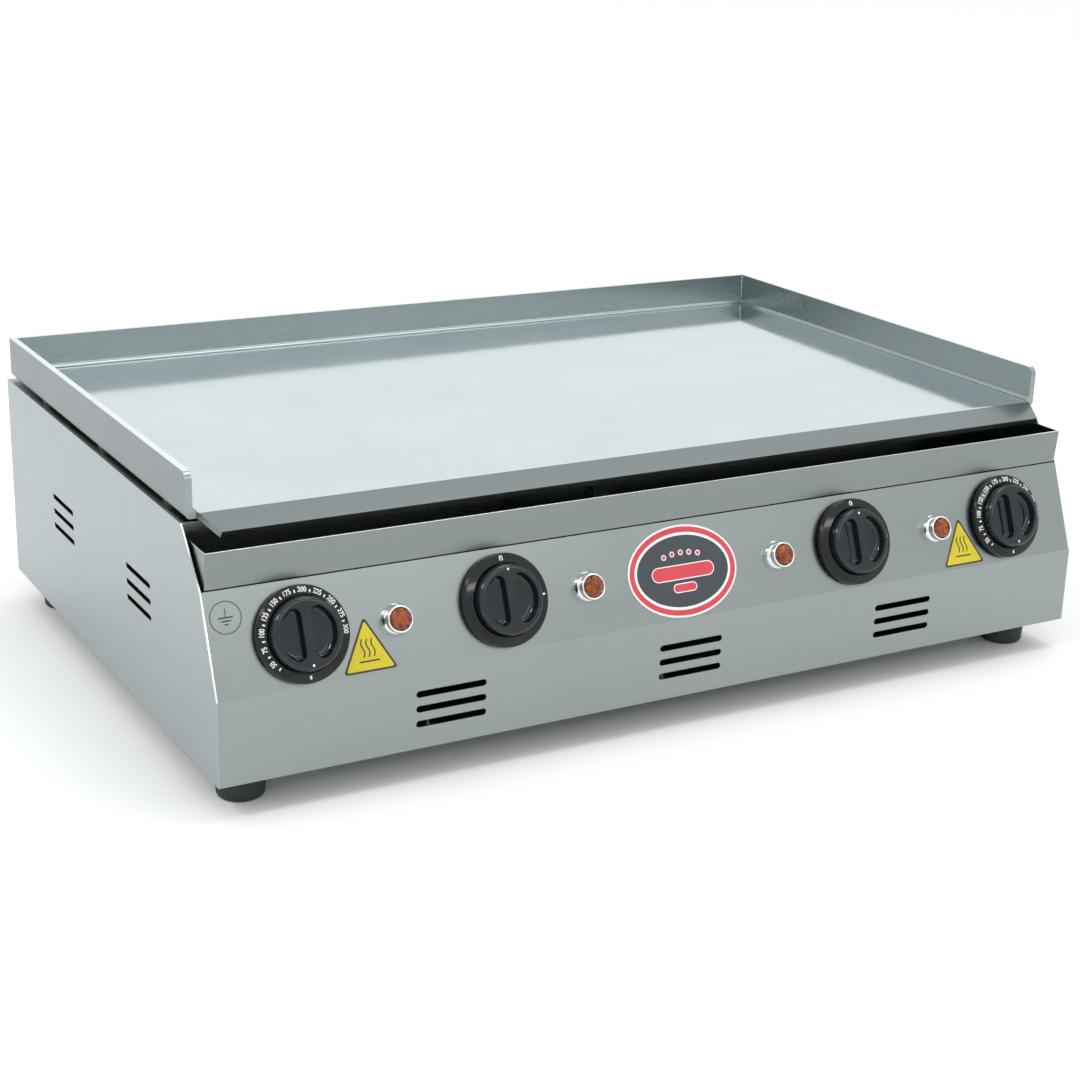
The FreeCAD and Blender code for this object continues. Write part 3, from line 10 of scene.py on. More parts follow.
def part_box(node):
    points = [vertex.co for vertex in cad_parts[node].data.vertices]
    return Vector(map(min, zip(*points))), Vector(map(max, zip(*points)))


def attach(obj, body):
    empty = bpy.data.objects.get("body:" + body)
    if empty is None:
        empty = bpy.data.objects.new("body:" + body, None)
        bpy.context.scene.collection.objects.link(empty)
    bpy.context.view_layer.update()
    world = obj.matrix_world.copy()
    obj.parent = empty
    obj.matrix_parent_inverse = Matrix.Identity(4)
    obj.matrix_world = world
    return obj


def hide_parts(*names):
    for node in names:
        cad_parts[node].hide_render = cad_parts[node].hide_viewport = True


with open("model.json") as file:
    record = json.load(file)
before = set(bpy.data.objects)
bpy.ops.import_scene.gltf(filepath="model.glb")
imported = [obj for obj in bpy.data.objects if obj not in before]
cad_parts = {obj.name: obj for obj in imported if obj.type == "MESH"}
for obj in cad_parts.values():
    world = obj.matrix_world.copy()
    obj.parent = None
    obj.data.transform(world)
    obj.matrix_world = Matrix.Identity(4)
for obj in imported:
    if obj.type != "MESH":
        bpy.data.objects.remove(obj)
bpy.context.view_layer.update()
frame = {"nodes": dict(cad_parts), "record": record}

bl_info = {
    "name": "Countertop griddle",
    "version": (1, 0, 0),
    "blender": (4, 5, 0),
    "location": "3D View > Sidebar > Griddle",
    "description": "Builds the looks of a countertop electric griddle around its frame",
    "category": "Object",
}

MM = 0.001
GRAIN_STRETCH = 0.012
FLAT_ANGLE = math.radians(0.5)
PRINT_SINK = 0.1 * MM
RIM_ROUNDING = 1.8 * MM
SHEET_GAP = 0.02 * MM
JOINTS = {joint["child"]: joint for joint in frame["record"]["behaviour"]["joints"]}
BODY_OF = {
    node: body for body, nodes in frame["record"]["behaviour"]["bodies"].items() for node in nodes
}
KNOBS = ("thermostat_left", "selector_left", "selector_right", "thermostat_right")


# ---- settings ----


def length(label, description, millimetres):
    return bpy.props.FloatProperty(
        name=label, description=description, default=millimetres * MM, unit="LENGTH", precision=5
    )


def colour(label, description, value):
    return bpy.props.FloatVectorProperty(
        name=label, description=description, default=value, subtype="COLOR", min=0.0, max=1.0
    )


class GriddleSizes(bpy.types.PropertyGroup):
    sheet_edge: length("Sheet edge", "Rounding of the casing's cut edges", 0.25)
    plate_edge: length("Plate edge", "Rounding of the plate's cut edges", 0.5)
    weld: length("Weld", "Radius of the bead in the plate's rear corners", 1.0)
    print_lift: length("Print thickness", "How far printed marks stand off their surface", 0.06)
    figure: length("Figure height", "Height of the dial's figures", 4.7)
    tick_length: length("Tick length", "Length of the dial's ticks", 2.0)
    tick_width: length("Tick width", "Width of the dial's ticks", 1.0)
    figure_radius: length("Figure radius", "Circle on which the dial's figures stand", 28.0)
    cap_rim: length("Cap rim", "Rounding of the knob cap's upper rim", 3.0)
    grip: length("Grip", "Width of the grip across the cap", 6.4)
    scoop_edge: length("Recess edge", "Rounding where the recesses meet the cap's top", 1.7)
    scoop_depth: length("Recess depth", "Depth of the finger recesses", 7.2)
    scoop_reach: length("Recess reach", "Outer radius of the finger recesses", 19.4)
    scoop_corner: length("Recess corner", "Rounding of the recesses' ends", 5.0)
    cap_gap: length("Cap gap", "Gap between the cap and the well of its dial", 0.5)
    dial_floor: length("Dial floor", "Floor of the dial's well off the panel", 2.4)
    dial_fall: length("Dial fall", "How far the dial's face falls from the well to its rim", 0.9)
    earth_mark: length("Earth mark", "Radius of the ring around the earth mark", 10.5)


class GriddleColours(bpy.types.PropertyGroup):
    casing: colour("Casing steel", "Satin stainless of the casing", (0.295, 0.328, 0.323))
    side: colour("Side steel", "Satin stainless of the side panels", (0.345, 0.385, 0.392))
    tray: colour("Tray steel", "Stainless of the drip tray", (0.230, 0.256, 0.252))
    plate: colour("Plate", "Hard chrome of the cooking plate", (0.70, 0.77, 0.80))
    wall: colour("Plate walls", "Satin steel of the plate's walls and lip", (0.305, 0.345, 0.348))
    # Cut edges, painted near white as an edge highlight, much brighter than the steel's own colour.
    cut_edge: colour("Cut edge", "Freshly cut steel edges", (0.88, 0.93, 0.93))
    black: colour("Knob black", "Moulded black plastic", (0.006, 0.0105, 0.0135))
    dial: colour("Dial black", "Dial ring plastic", (0.003, 0.005, 0.006))
    ink: colour("Ink", "White print on the dials", (0.74, 0.75, 0.75))
    amber: colour("Amber", "Pilot lamp lenses", (0.50, 0.105, 0.012))
    chrome: colour("Chrome", "Pilot lamp bezels", (0.80, 0.82, 0.82))
    rubber: colour("Rubber", "Feet", (0.016, 0.024, 0.026))
    yellow: colour("Label yellow", "Triangular labels", (0.58, 0.47, 0.008))
    dark_print: colour("Dark print", "Dark print on labels and the casing", (0.03, 0.03, 0.03))
    badge_red: colour("Badge red", "Band and marks of the oval badge", (0.58, 0.035, 0.055))
    badge_field: colour("Badge field", "Inner field of the oval badge", (0.026, 0.034, 0.042))
    badge_white: colour("Badge white", "Rim of the oval badge and outline of its marks", (0.80, 0.80, 0.79))


def sizes():
    return bpy.context.scene.griddle_sizes


def colours():
    return bpy.context.scene.griddle_colours


# ---- shader groups ----


def shader_group(name, inputs, outputs):
    """An empty shader node group with number outputs: (group, input node, output node)."""
    group = bpy.data.node_groups.new(name, "ShaderNodeTree")
    for label, kind, value in inputs:
        socket = group.interface.new_socket(label, in_out="INPUT", socket_type=f"NodeSocket{kind}")
        socket.default_value = value
    for label in outputs:
        group.interface.new_socket(label, in_out="OUTPUT", socket_type="NodeSocketFloat")
    return group, group.nodes.new("NodeGroupInput"), group.nodes.new("NodeGroupOutput")


def math_node(tree, operation, first, second, clamp=False):
    node = tree.nodes.new("ShaderNodeMath")
    node.operation = operation
    node.use_clamp = clamp
    for socket, value in zip(node.inputs, (first, second)):
        if isinstance(value, (int, float)):
            socket.default_value = value
        else:
            tree.links.new(value, socket)
    return node.outputs[0]


def noise_node(tree, vector, scale, detail, roughness):
    node = tree.nodes.new("ShaderNodeTexNoise")
    node.inputs["Detail"].default_value = detail
    node.inputs["Roughness"].default_value = roughness
    tree.links.new(vector, node.inputs["Vector"])
    if isinstance(scale, (int, float)):
        node.inputs["Scale"].default_value = scale
    else:
        tree.links.new(scale, node.inputs["Scale"])
    return node.outputs["Fac"]


def brushed_grain():
    """Long fine scratches: noise stretched along one direction, with slower bands across it."""
    if "Brushed grain" in bpy.data.node_groups:
        return bpy.data.node_groups["Brushed grain"]
    group, given, made = shader_group(
        "Brushed grain",
        (
            ("Vector", "Vector", (0.0, 0.0, 0.0)),
            ("Stretch", "Vector", (0.02, 1.0, 1.0)),
            ("Scale", "Float", 900.0),
            ("Bands", "Float", 40.0),
        ),
        ("Height", "Tone"),
    )
    stretched = group.nodes.new("ShaderNodeVectorMath")
    stretched.operation = "MULTIPLY"
    group.links.new(given.outputs["Vector"], stretched.inputs[0])
    group.links.new(given.outputs["Stretch"], stretched.inputs[1])
    fine = noise_node(group, stretched.outputs[0], given.outputs["Scale"], 2.0, 0.6)
    bands = noise_node(group, stretched.outputs[0], given.outputs["Bands"], 4.0, 0.55)
    fine_share = math_node(group, "MULTIPLY", fine, 0.7)
    band_share = math_node(group, "MULTIPLY", bands, 0.3)
    both = math_node(group, "ADD", fine_share, band_share)
    group.links.new(fine, made.inputs["Height"])
    group.links.new(both, made.inputs["Tone"])
    return group


def handling_marks():
    """Soft patches, a mask from 0 to 1: where hands and cloths have been, clouds and pits on the metals, and
    painted glints on the lamp lenses.
    """
    if "Marks and glints" in bpy.data.node_groups:
        return bpy.data.node_groups["Marks and glints"]
    group, given, made = shader_group(
        "Marks and glints",
        (
            ("Vector", "Vector", (0.0, 0.0, 0.0)),
            ("Scale", "Float", 12.0),
            ("Contrast", "Float", 2.0),
        ),
        ("Mask", "Height"),
    )
    patches = noise_node(group, given.outputs["Vector"], given.outputs["Scale"], 5.0, 0.6)
    centred = math_node(group, "SUBTRACT", patches, 0.5)
    spread = math_node(group, "MULTIPLY", centred, given.outputs["Contrast"])
    mask = math_node(group, "ADD", spread, 0.5, clamp=True)
    group.links.new(mask, made.inputs["Mask"])
    group.links.new(patches, made.inputs["Height"])
    return group


def bright_edges():
    """Where an edge is near: a mask that is 1 on sharp edges and 0 on flats."""
    if "Bright edges" in bpy.data.node_groups:
        return bpy.data.node_groups["Bright edges"]
    group, given, made = shader_group(
        "Bright edges",
        (("Radius", "Float", 0.001), ("Gain", "Float", 6.0)),
        ("Mask",),
    )
    rounded = group.nodes.new("ShaderNodeBevel")
    rounded.samples = 4
    group.links.new(given.outputs["Radius"], rounded.inputs["Radius"])
    surface = group.nodes.new("ShaderNodeNewGeometry")
    agree = group.nodes.new("ShaderNodeVectorMath")
    agree.operation = "DOT_PRODUCT"
    group.links.new(rounded.outputs[0], agree.inputs[0])
    group.links.new(surface.outputs["Normal"], agree.inputs[1])
    turn = math_node(group, "SUBTRACT", 1.0, agree.outputs["Value"])
    mask = math_node(group, "MULTIPLY", turn, given.outputs["Gain"], clamp=True)
    group.links.new(mask, made.inputs["Mask"])
    return group


def moulded_skin():
    """The faint texture of a moulded or cast surface."""
    if "Moulded skin" in bpy.data.node_groups:
        return bpy.data.node_groups["Moulded skin"]
    group, given, made = shader_group(
        "Moulded skin",
        (("Vector", "Vector", (0.0, 0.0, 0.0)), ("Scale", "Float", 700.0)),
        ("Height", "Tone"),
    )
    fine = noise_node(group, given.outputs["Vector"], given.outputs["Scale"], 2.0, 0.5)
    slow_scale = 45.0
    slow = noise_node(group, given.outputs["Vector"], slow_scale, 3.0, 0.5)
    group.links.new(fine, made.inputs["Height"])
    group.links.new(slow, made.inputs["Tone"])
    return group


# ---- materials ----


def start_material(name):
    """A material with a Principled shader and object coordinates: (material, tree, shader, place)."""
    material = bpy.data.materials.new(name)
    material.use_nodes = True
    tree = material.node_tree
    tree.nodes.clear()
    shader = tree.nodes.new("ShaderNodeBsdfPrincipled")
    output = tree.nodes.new("ShaderNodeOutputMaterial")
    tree.links.new(shader.outputs[0], output.inputs["Surface"])
    coordinates = tree.nodes.new("ShaderNodeTexCoord")
    return material, tree, shader, coordinates.outputs["Object"]


def add_group(tree, group, **values):
    node = tree.nodes.new("ShaderNodeGroup")
    node.node_tree = group
    for name, value in values.items():
        if isinstance(value, bpy.types.NodeSocket):
            tree.links.new(value, node.inputs[name])
        else:
            node.inputs[name].default_value = value
    return node


def mix_colour(tree, factor, first, second):
    """Blend two colours by a factor socket."""
    node = tree.nodes.new("ShaderNodeMix")
    node.data_type = "RGBA"
    tree.links.new(factor, node.inputs["Factor"])
    for socket, value in ((node.inputs[6], first), (node.inputs[7], second)):
        if isinstance(value, bpy.types.NodeSocket):
            tree.links.new(value, socket)
        else:
            socket.default_value = (*value, 1.0)
    return node.outputs[2]


def spread(tree, factor, low, high):
    """Map a 0 to 1 factor onto low to high."""
    node = tree.nodes.new("ShaderNodeMapRange")
    node.inputs["To Min"].default_value = low
    node.inputs["To Max"].default_value = high
    tree.links.new(factor, node.inputs["Value"])
    return node.outputs[0]


def bump(tree, shader, height, strength, distance, below=None):
    node = tree.nodes.new("ShaderNodeBump")
    node.inputs["Strength"].default_value = strength
    node.inputs["Distance"].default_value = distance
    tree.links.new(height, node.inputs["Height"])
    if below is not None:
        tree.links.new(below, node.inputs["Normal"])
    tree.links.new(node.outputs[0], shader.inputs["Normal"])
    return node.outputs[0]


def shade(value, factor):
    return tuple(min(1.0, channel * factor) for channel in value)


def steel(name, base, stretch, rough=(0.22, 0.32), grain=0.06):
    """Brushed stainless sheet; stretch is small along the grain and 1 across it."""
    if name in bpy.data.materials:
        return bpy.data.materials[name]
    material, tree, shader, place = start_material(name)
    lines = add_group(tree, brushed_grain(), Vector=place, Stretch=stretch)
    marks = add_group(tree, handling_marks(), Vector=place, Scale=7.0, Contrast=2.2)
    grained = mix_colour(tree, lines.outputs["Tone"], shade(base, 0.96), shade(base, 1.04))
    worn = mix_colour(tree, marks.outputs["Mask"], grained, shade(base, 1.05))
    tree.links.new(worn, shader.inputs["Base Color"])
    shader.inputs["Metallic"].default_value = 1.0
    level = math_node(
        tree, "ADD",
        spread(tree, lines.outputs["Tone"], rough[0], rough[1]),
        spread(tree, marks.outputs["Mask"], -0.03, 0.05),
    )
    tree.links.new(level, shader.inputs["Roughness"])
    bump(tree, shader, lines.outputs["Height"], grain, 0.00008)
    return material


def polished_plate():
    """Hard chrome over rolled plate: a clear reflection broken by fine ripples and a few pits."""
    if "polished_plate" in bpy.data.materials:
        return bpy.data.materials["polished_plate"]
    base = colours().plate
    material, tree, shader, place = start_material("polished_plate")
    clouds = add_group(tree, handling_marks(), Vector=place, Scale=14.0, Contrast=2.6)
    pits = add_group(tree, handling_marks(), Vector=place, Scale=210.0, Contrast=9.0)
    skin = add_group(tree, moulded_skin(), Vector=place, Scale=420.0)
    tone = mix_colour(tree, clouds.outputs["Mask"], shade(base, 0.93), shade(base, 0.98))
    pit_level = 0.735
    deep = math_node(tree, "GREATER_THAN", pits.outputs["Height"], pit_level)
    tree.links.new(mix_colour(tree, deep, tone, shade(base, 0.62)), shader.inputs["Base Color"])
    shader.inputs["Metallic"].default_value = 1.0
    tree.links.new(spread(tree, clouds.outputs["Mask"], 0.07, 0.12), shader.inputs["Roughness"])
    low = bump(tree, shader, clouds.outputs["Height"], 0.12, 0.0012)
    bump(tree, shader, skin.outputs["Height"], 0.07, 0.0003, low)
    return material


def bright_metal(name, base, rough=(0.06, 0.16), texture=300.0, depth=0.04):
    """Plated or cut metal with only slight texture."""
    if name in bpy.data.materials:
        return bpy.data.materials[name]
    material, tree, shader, place = start_material(name)
    skin = add_group(tree, moulded_skin(), Vector=place, Scale=texture)
    tone = mix_colour(tree, skin.outputs["Tone"], shade(base, 0.9), shade(base, 1.06))
    tree.links.new(tone, shader.inputs["Base Color"])
    shader.inputs["Metallic"].default_value = 1.0
    tree.links.new(spread(tree, skin.outputs["Tone"], rough[0], rough[1]), shader.inputs["Roughness"])
    bump(tree, shader, skin.outputs["Height"], depth, 0.0002)
    return material


def plastic(name, base, rough, texture=900.0, depth=0.05, coat=0.0, wear_and_sheen=0.0, gloss=0.5):
    """Moulded plastic, rubber or print, with a fine skin and paler edges: partly rubbed wear, partly painted
    edge highlight.
    """
    if name in bpy.data.materials:
        return bpy.data.materials[name]
    material, tree, shader, place = start_material(name)
    skin = add_group(tree, moulded_skin(), Vector=place, Scale=texture)
    tone = mix_colour(tree, skin.outputs["Tone"], shade(base, 0.85), shade(base, 1.15))
    if wear_and_sheen:
        # Paler edges: partly rubbed wear, partly painted edge highlight.
        rubbed_and_sheen = add_group(tree, bright_edges(), Radius=0.0006, Gain=5.0)
        amount = math_node(tree, "MULTIPLY", rubbed_and_sheen.outputs["Mask"], wear_and_sheen)
        paler = tuple(0.10 + 0.8 * channel for channel in base)
        tone = mix_colour(tree, amount, tone, paler)
    tree.links.new(tone, shader.inputs["Base Color"])
    tree.links.new(spread(tree, skin.outputs["Tone"], rough[0], rough[1]), shader.inputs["Roughness"])
    shader.inputs["Specular IOR Level"].default_value = gloss
    shader.inputs["Coat Weight"].default_value = coat
    shader.inputs["Coat Roughness"].default_value = 0.08
    bump(tree, shader, skin.outputs["Height"], depth, 0.0002)
    return material


def amber_glass():
    if "amber_faceted" in bpy.data.materials:
        return bpy.data.materials["amber_faceted"]
    base = colours().amber
    material, tree, shader, place = start_material("amber_faceted")
    skin = add_group(tree, moulded_skin(), Vector=place, Scale=500.0)
    # Painted glints and painted reflection of the lamp's reflector: random dark and bright amber patches.
    painted_glints = add_group(tree, handling_marks(), Vector=place, Scale=300.0, Contrast=3.6)
    tone = mix_colour(tree, painted_glints.outputs["Mask"], shade(base, 0.22), base)
    tree.links.new(tone, shader.inputs["Base Color"])
    shader.inputs["Roughness"].default_value = 0.05
    shader.inputs["IOR"].default_value = 1.49
    shader.inputs["Transmission Weight"].default_value = 0.3
    bump(tree, shader, skin.outputs["Height"], 0.03, 0.0002)
    return material


def fibre(name, base, scale=420.0):
    """Woven or felted mineral fibre."""
    if name in bpy.data.materials:
        return bpy.data.materials[name]
    material, tree, shader, place = start_material(name)
    marks = add_group(tree, handling_marks(), Vector=place, Scale=scale, Contrast=3.0)
    tone = mix_colour(tree, marks.outputs["Mask"], shade(base, 0.7), shade(base, 1.1))
    tree.links.new(tone, shader.inputs["Base Color"])
    tree.links.new(spread(tree, marks.outputs["Mask"], 0.8, 0.95), shader.inputs["Roughness"])
    bump(tree, shader, marks.outputs["Height"], 0.6, 0.0008)
    return material


def along_x(name, base, **more):
    return steel(name, base, (GRAIN_STRETCH, 1.0, 1.0), **more)


def along_y(name, base, **more):
    return steel(name, base, (1.0, GRAIN_STRETCH, 1.0), **more)


def casing_front():
    return along_x("front_brushed", colours().casing)


def casing_side():
    return along_y("side_brushed", colours().side)


def plate_wall():
    return along_x("plate_wall", colours().wall, rough=(0.22, 0.34), grain=0.08)


# Painted shade: a copy of the wall steel made 0.66 darker, so the outer walls and lower band read as shaded
# beside the lighter inner walls.
def plate_outside():
    return along_x("plate_outside", shade(colours().wall, 0.66), rough=(0.22, 0.34), grain=0.08)


def tray_steel():
    return along_x("tray_brushed", colours().tray)


# Cut edges of the sheets and plate, painted near white as an edge highlight.
def cut_edge():
    return bright_metal("cut_edge", colours().cut_edge, (0.16, 0.30))


def knob_black():
    return plastic("knob_black", colours().black, (0.06, 0.11), 600.0, 0.03, wear_and_sheen=0.08, gloss=0.5)


def dial_black():
    return plastic("dial_black", colours().dial, (0.07, 0.11), 600.0, 0.03, wear_and_sheen=0.05, gloss=0.38)


def ink_white():
    return plastic("ink_white", colours().ink, (0.45, 0.6))


def dark_ink():
    return plastic("dark_print", colours().dark_print, (0.35, 0.5))


def zinc():
    return bright_metal("zinc_plate", (0.62, 0.63, 0.60), (0.25, 0.42))


# ---- mesh helpers ----


def new_object(name, mesh):
    piece = bpy.data.objects.new(name, mesh)
    bpy.context.scene.collection.objects.link(piece)
    return piece


def mesh_object(name, shape, material, smooth_angle=35):
    """Turn a bmesh into an object with one material and smooth shading up to the angle."""
    mesh = bpy.data.meshes.new(name)
    shape.to_mesh(mesh)
    shape.free()
    finish_shading(mesh, smooth_angle)
    mesh.materials.append(material)
    return new_object(name, mesh)


def finish_shading(mesh, smooth_angle):
    for face in mesh.polygons:
        face.use_smooth = True
    mesh.set_sharp_from_angle(angle=math.radians(smooth_angle))


def settle(piece, node, matrix=None, stands_in=True):
    """Put the piece in place through its mesh, on the node's body, and hide the node."""
    if matrix is not None:
        piece.data.transform(matrix)
    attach(piece, BODY_OF[node])
    if stands_in:
        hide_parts(node)


def baked(piece):
    """Replace the object's mesh by its evaluated one and drop its modifiers."""
    graph = bpy.context.evaluated_depsgraph_get()
    mesh = bpy.data.meshes.new_from_object(piece.evaluated_get(graph))
    piece.modifiers.clear()
    old = piece.data
    piece.data = mesh
    bpy.data.meshes.remove(old)


def add_bevel(piece, width, segments=2, angle=30):
    bevel = piece.modifiers.new("edges", "BEVEL")
    bevel.width = width
    bevel.segments = segments
    bevel.limit_method = "ANGLE"
    bevel.angle_limit = math.radians(angle)
    bevel.use_clamp_overlap = True
    bevel.harden_normals = True


def join_flats(shape):
    """Merge coplanar faces, so that only true edges are rounded."""
    bmesh.ops.dissolve_limit(shape, angle_limit=FLAT_ANGLE, verts=shape.verts, edges=shape.edges)


def refined(node, material, edge, segments=2):
    """A merged copy of a CAD node with clean flats and finely rounded edges."""
    shape = bmesh.new()
    shape.from_mesh(frame["nodes"][node].data)
    bmesh.ops.remove_doubles(shape, verts=shape.verts, dist=1e-6)
    join_flats(shape)
    piece = mesh_object(f"{node}_skin", shape, material)
    add_bevel(piece, edge, segments)
    baked(piece)
    return piece


def lathe(profile, steps):
    """Spin a profile of (radius, height) about Z; it closes at radius 0 or where it started."""
    shape = bmesh.new()
    rings = []
    for radius, height in profile:
        if radius == 0:
            rings.append([shape.verts.new((0, 0, height))])
            continue
        ring = []
        for i in range(steps):
            angle = 2 * math.pi * i / steps
            ring.append(shape.verts.new((radius * math.cos(angle), radius * math.sin(angle), height)))
        rings.append(ring)
    for low, high in zip(rings, rings[1:]):
        for i in range(steps):
            j = (i + 1) % steps
            corners = [low[i % len(low)], low[j % len(low)], high[j % len(high)], high[i % len(high)]]
            shape.faces.new(list(dict.fromkeys(corners)))
    bmesh.ops.remove_doubles(shape, verts=shape.verts, dist=1e-7)
    bmesh.ops.recalc_face_normals(shape, faces=shape.faces)
    return shape


def arc_points(centre, radius, start, end, count):
    """Points on an arc, angles in degrees."""
    points = []
    for i in range(count + 1):
        angle = math.radians(start + (end - start) * i / count)
        points.append((centre[0] + radius * math.cos(angle), centre[1] + radius * math.sin(angle)))
    return points


def slab(outline, low, high):
    """A flat piece with this outline between two heights."""
    shape = bmesh.new()
    verts = [shape.verts.new((x, y, low)) for x, y in outline]
    face = shape.faces.new(verts)
    made = bmesh.ops.extrude_face_region(shape, geom=[face])
    top = [item for item in made["geom"] if isinstance(item, bmesh.types.BMVert)]
    bmesh.ops.translate(shape, verts=top, vec=(0, 0, high - low))
    bmesh.ops.recalc_face_normals(shape, faces=shape.faces)
    return shape


def frame_slab(outer, inner, low, high):
    """A flat band between two outlines that have the same number of points."""
    shape = bmesh.new()
    count = len(outer)
    rings = []
    for outline, height in ((outer, low), (outer, high), (inner, high), (inner, low)):
        rings.append([shape.verts.new((x, y, height)) for x, y in outline])
    for k in range(4):
        first, second = rings[k], rings[(k + 1) % 4]
        for i in range(count):
            j = (i + 1) % count
            shape.faces.new((first[i], first[j], second[j], second[i]))
    bmesh.ops.recalc_face_normals(shape, faces=shape.faces)
    return shape


def oval(half_width, half_height, count=96):
    points = []
    for i in range(count):
        angle = 2 * math.pi * i / count
        points.append((half_width * math.cos(angle), half_height * math.sin(angle)))
    return points


def ink_text(name, words, size, material, thickness):
    """Lettering as a thin mesh, centred on the origin."""
    curve = bpy.data.curves.new(name, "FONT")
    curve.body = words
    curve.size = size
    curve.align_x = "CENTER"
    curve.align_y = "CENTER"
    curve.extrude = thickness / 2
    curve.offset = size * 0.022
    curve.resolution_u = 3
    text = new_object(name, curve)
    graph = bpy.context.evaluated_depsgraph_get()
    mesh = bpy.data.meshes.new_from_object(text.evaluated_get(graph))
    bpy.data.objects.remove(text)
    mesh.materials.clear()
    mesh.materials.append(material)
    return mesh


def merged(name, shapes, material):
    """One mesh object from several bmeshes, which it uses up."""
    meshes = []
    for shape in shapes:
        mesh = bpy.data.meshes.new(name)
        shape.to_mesh(mesh)
        shape.free()
        meshes.append(mesh)
    return joined(name, meshes, material)


def joined(name, meshes, material):
    """One mesh object from several meshes."""
    shape = bmesh.new()
    for mesh in meshes:
        shape.from_mesh(mesh)
    bmesh.ops.remove_doubles(shape, verts=shape.verts, dist=1e-7)
    return mesh_object(name, shape, material)


# ---- the panel's frame ----


def control_matrix(child):
    """Turns a piece drawn about Z, with Y up the panel, into its place at that control."""
    joint = JOINTS[child]
    out = Vector(joint["axis"]).normalized()
    right = Vector((1, 0, 0))
    up = out.cross(right)
    matrix = Matrix((right, up, out)).transposed().to_4x4()
    return Matrix.Translation(Vector(joint["pos_m"])) @ matrix


def local_box(node, matrix, side=0):
    """A CAD node's lowest and highest corner in that frame; side -1 or 1 takes one half of it."""
    back = matrix.inverted()
    vertices = frame["nodes"][node].data.vertices
    points = [back @ vertex.co for vertex in vertices if side == 0 or vertex.co.x * side > 0]
    low = Vector(min(point[k] for point in points) for k in range(3))
    high = Vector(max(point[k] for point in points) for k in range(3))
    return low, high


def panel_matrix(node):
    """The panel's frame moved so that its origin is under the node's middle."""
    matrix = control_matrix("knob_thermostat_left")
    low, high = local_box(node, matrix)
    return matrix @ Matrix.Translation(((low.x + high.x) / 2, (low.y + high.y) / 2, 0))


# ---- geometry nodes ----


class Tree:
    """A geometry node tree under construction, with a few shorthands."""

    def __init__(self, name, inputs):
        self.group = bpy.data.node_groups.new(name, "GeometryNodeTree")
        self.group.is_modifier = True
        side = self.group.interface
        side.new_socket("Geometry", in_out="INPUT", socket_type="NodeSocketGeometry")
        for label, kind in inputs:
            side.new_socket(label, in_out="INPUT", socket_type=f"NodeSocket{kind}")
        side.new_socket("Geometry", in_out="OUTPUT", socket_type="NodeSocketGeometry")
        self.given = self.group.nodes.new("NodeGroupInput")
        self.made = self.group.nodes.new("NodeGroupOutput")

    def node(self, kind, values=None, **settings):
        node = self.group.nodes.new(kind)
        for key, value in settings.items():
            setattr(node, key, value)
        for key, value in (values or {}).items():
            if isinstance(value, bpy.types.NodeSocket):
                self.group.links.new(value, node.inputs[key])
            else:
                node.inputs[key].default_value = value
        return node

    def math(self, operation, first, second):
        return self.node("ShaderNodeMath", {0: first, 1: second}, operation=operation).outputs[0]

    def finish(self, instances, material):
        real = self.node("GeometryNodeRealizeInstances", {"Geometry": instances})
        paint = self.node("GeometryNodeSetMaterial", {"Geometry": real.outputs[0], "Material": material})
        self.group.links.new(paint.outputs[0], self.made.inputs[0])


def from_tree(name, tree, values):
    """Run a tree on an empty mesh and return the plain mesh it makes."""
    piece = new_object(name, bpy.data.meshes.new(name))
    modifier = piece.modifiers.new("pattern", "NODES")
    modifier.node_group = tree
    for item in tree.interface.items_tree:
        if item.item_type == "SOCKET" and item.in_out == "INPUT" and item.name in values:
            modifier[item.identifier] = values[item.name]
    baked(piece)
    mesh = piece.data
    bpy.data.objects.remove(piece)
    return mesh


def tick_ring_tree():
    """Marks set round a circle, each turned to point at its centre."""
    if "Tick ring" in bpy.data.node_groups:
        return bpy.data.node_groups["Tick ring"]
    tree = Tree("Tick ring", (
        ("Count", "Int"),
        ("Radius", "Float"),
        ("Start", "Float"),
        ("Step", "Float"),
        ("Length", "Float"),
        ("Width", "Float"),
        ("Thickness", "Float"),
        ("Height", "Float"),
        ("Material", "Material"),
    ))
    given = tree.given.outputs
    line = tree.node("GeometryNodeMeshLine", {"Count": given["Count"], "Offset": (0, 0, 0)})
    index = tree.node("GeometryNodeInputIndex").outputs[0]
    angle = tree.math("ADD", given["Start"], tree.math("MULTIPLY", index, given["Step"]))
    turn = tree.math("MULTIPLY", angle, -1.0)
    arm = tree.node("ShaderNodeCombineXYZ", {"Y": given["Radius"], "Z": given["Height"]})
    spot = tree.node(
        "ShaderNodeVectorRotate", {"Vector": arm.outputs[0], "Angle": turn}, rotation_type="Z_AXIS"
    )
    placed = tree.node("GeometryNodeSetPosition", {"Geometry": line.outputs[0], "Position": spot.outputs[0]})
    size = tree.node("ShaderNodeCombineXYZ", {
        "X": given["Width"], "Y": given["Length"], "Z": given["Thickness"],
    })
    mark = tree.node("GeometryNodeMeshCube", {"Size": size.outputs[0]})
    spin = tree.node("ShaderNodeCombineXYZ", {"Z": turn})
    facing = tree.node("FunctionNodeEulerToRotation", {"Euler": spin.outputs[0]})
    copies = tree.node("GeometryNodeInstanceOnPoints", {
        "Points": placed.outputs[0],
        "Instance": mark.outputs[0],
        "Rotation": facing.outputs[0],
    })
    tree.finish(copies.outputs[0], given["Material"])
    return tree.group


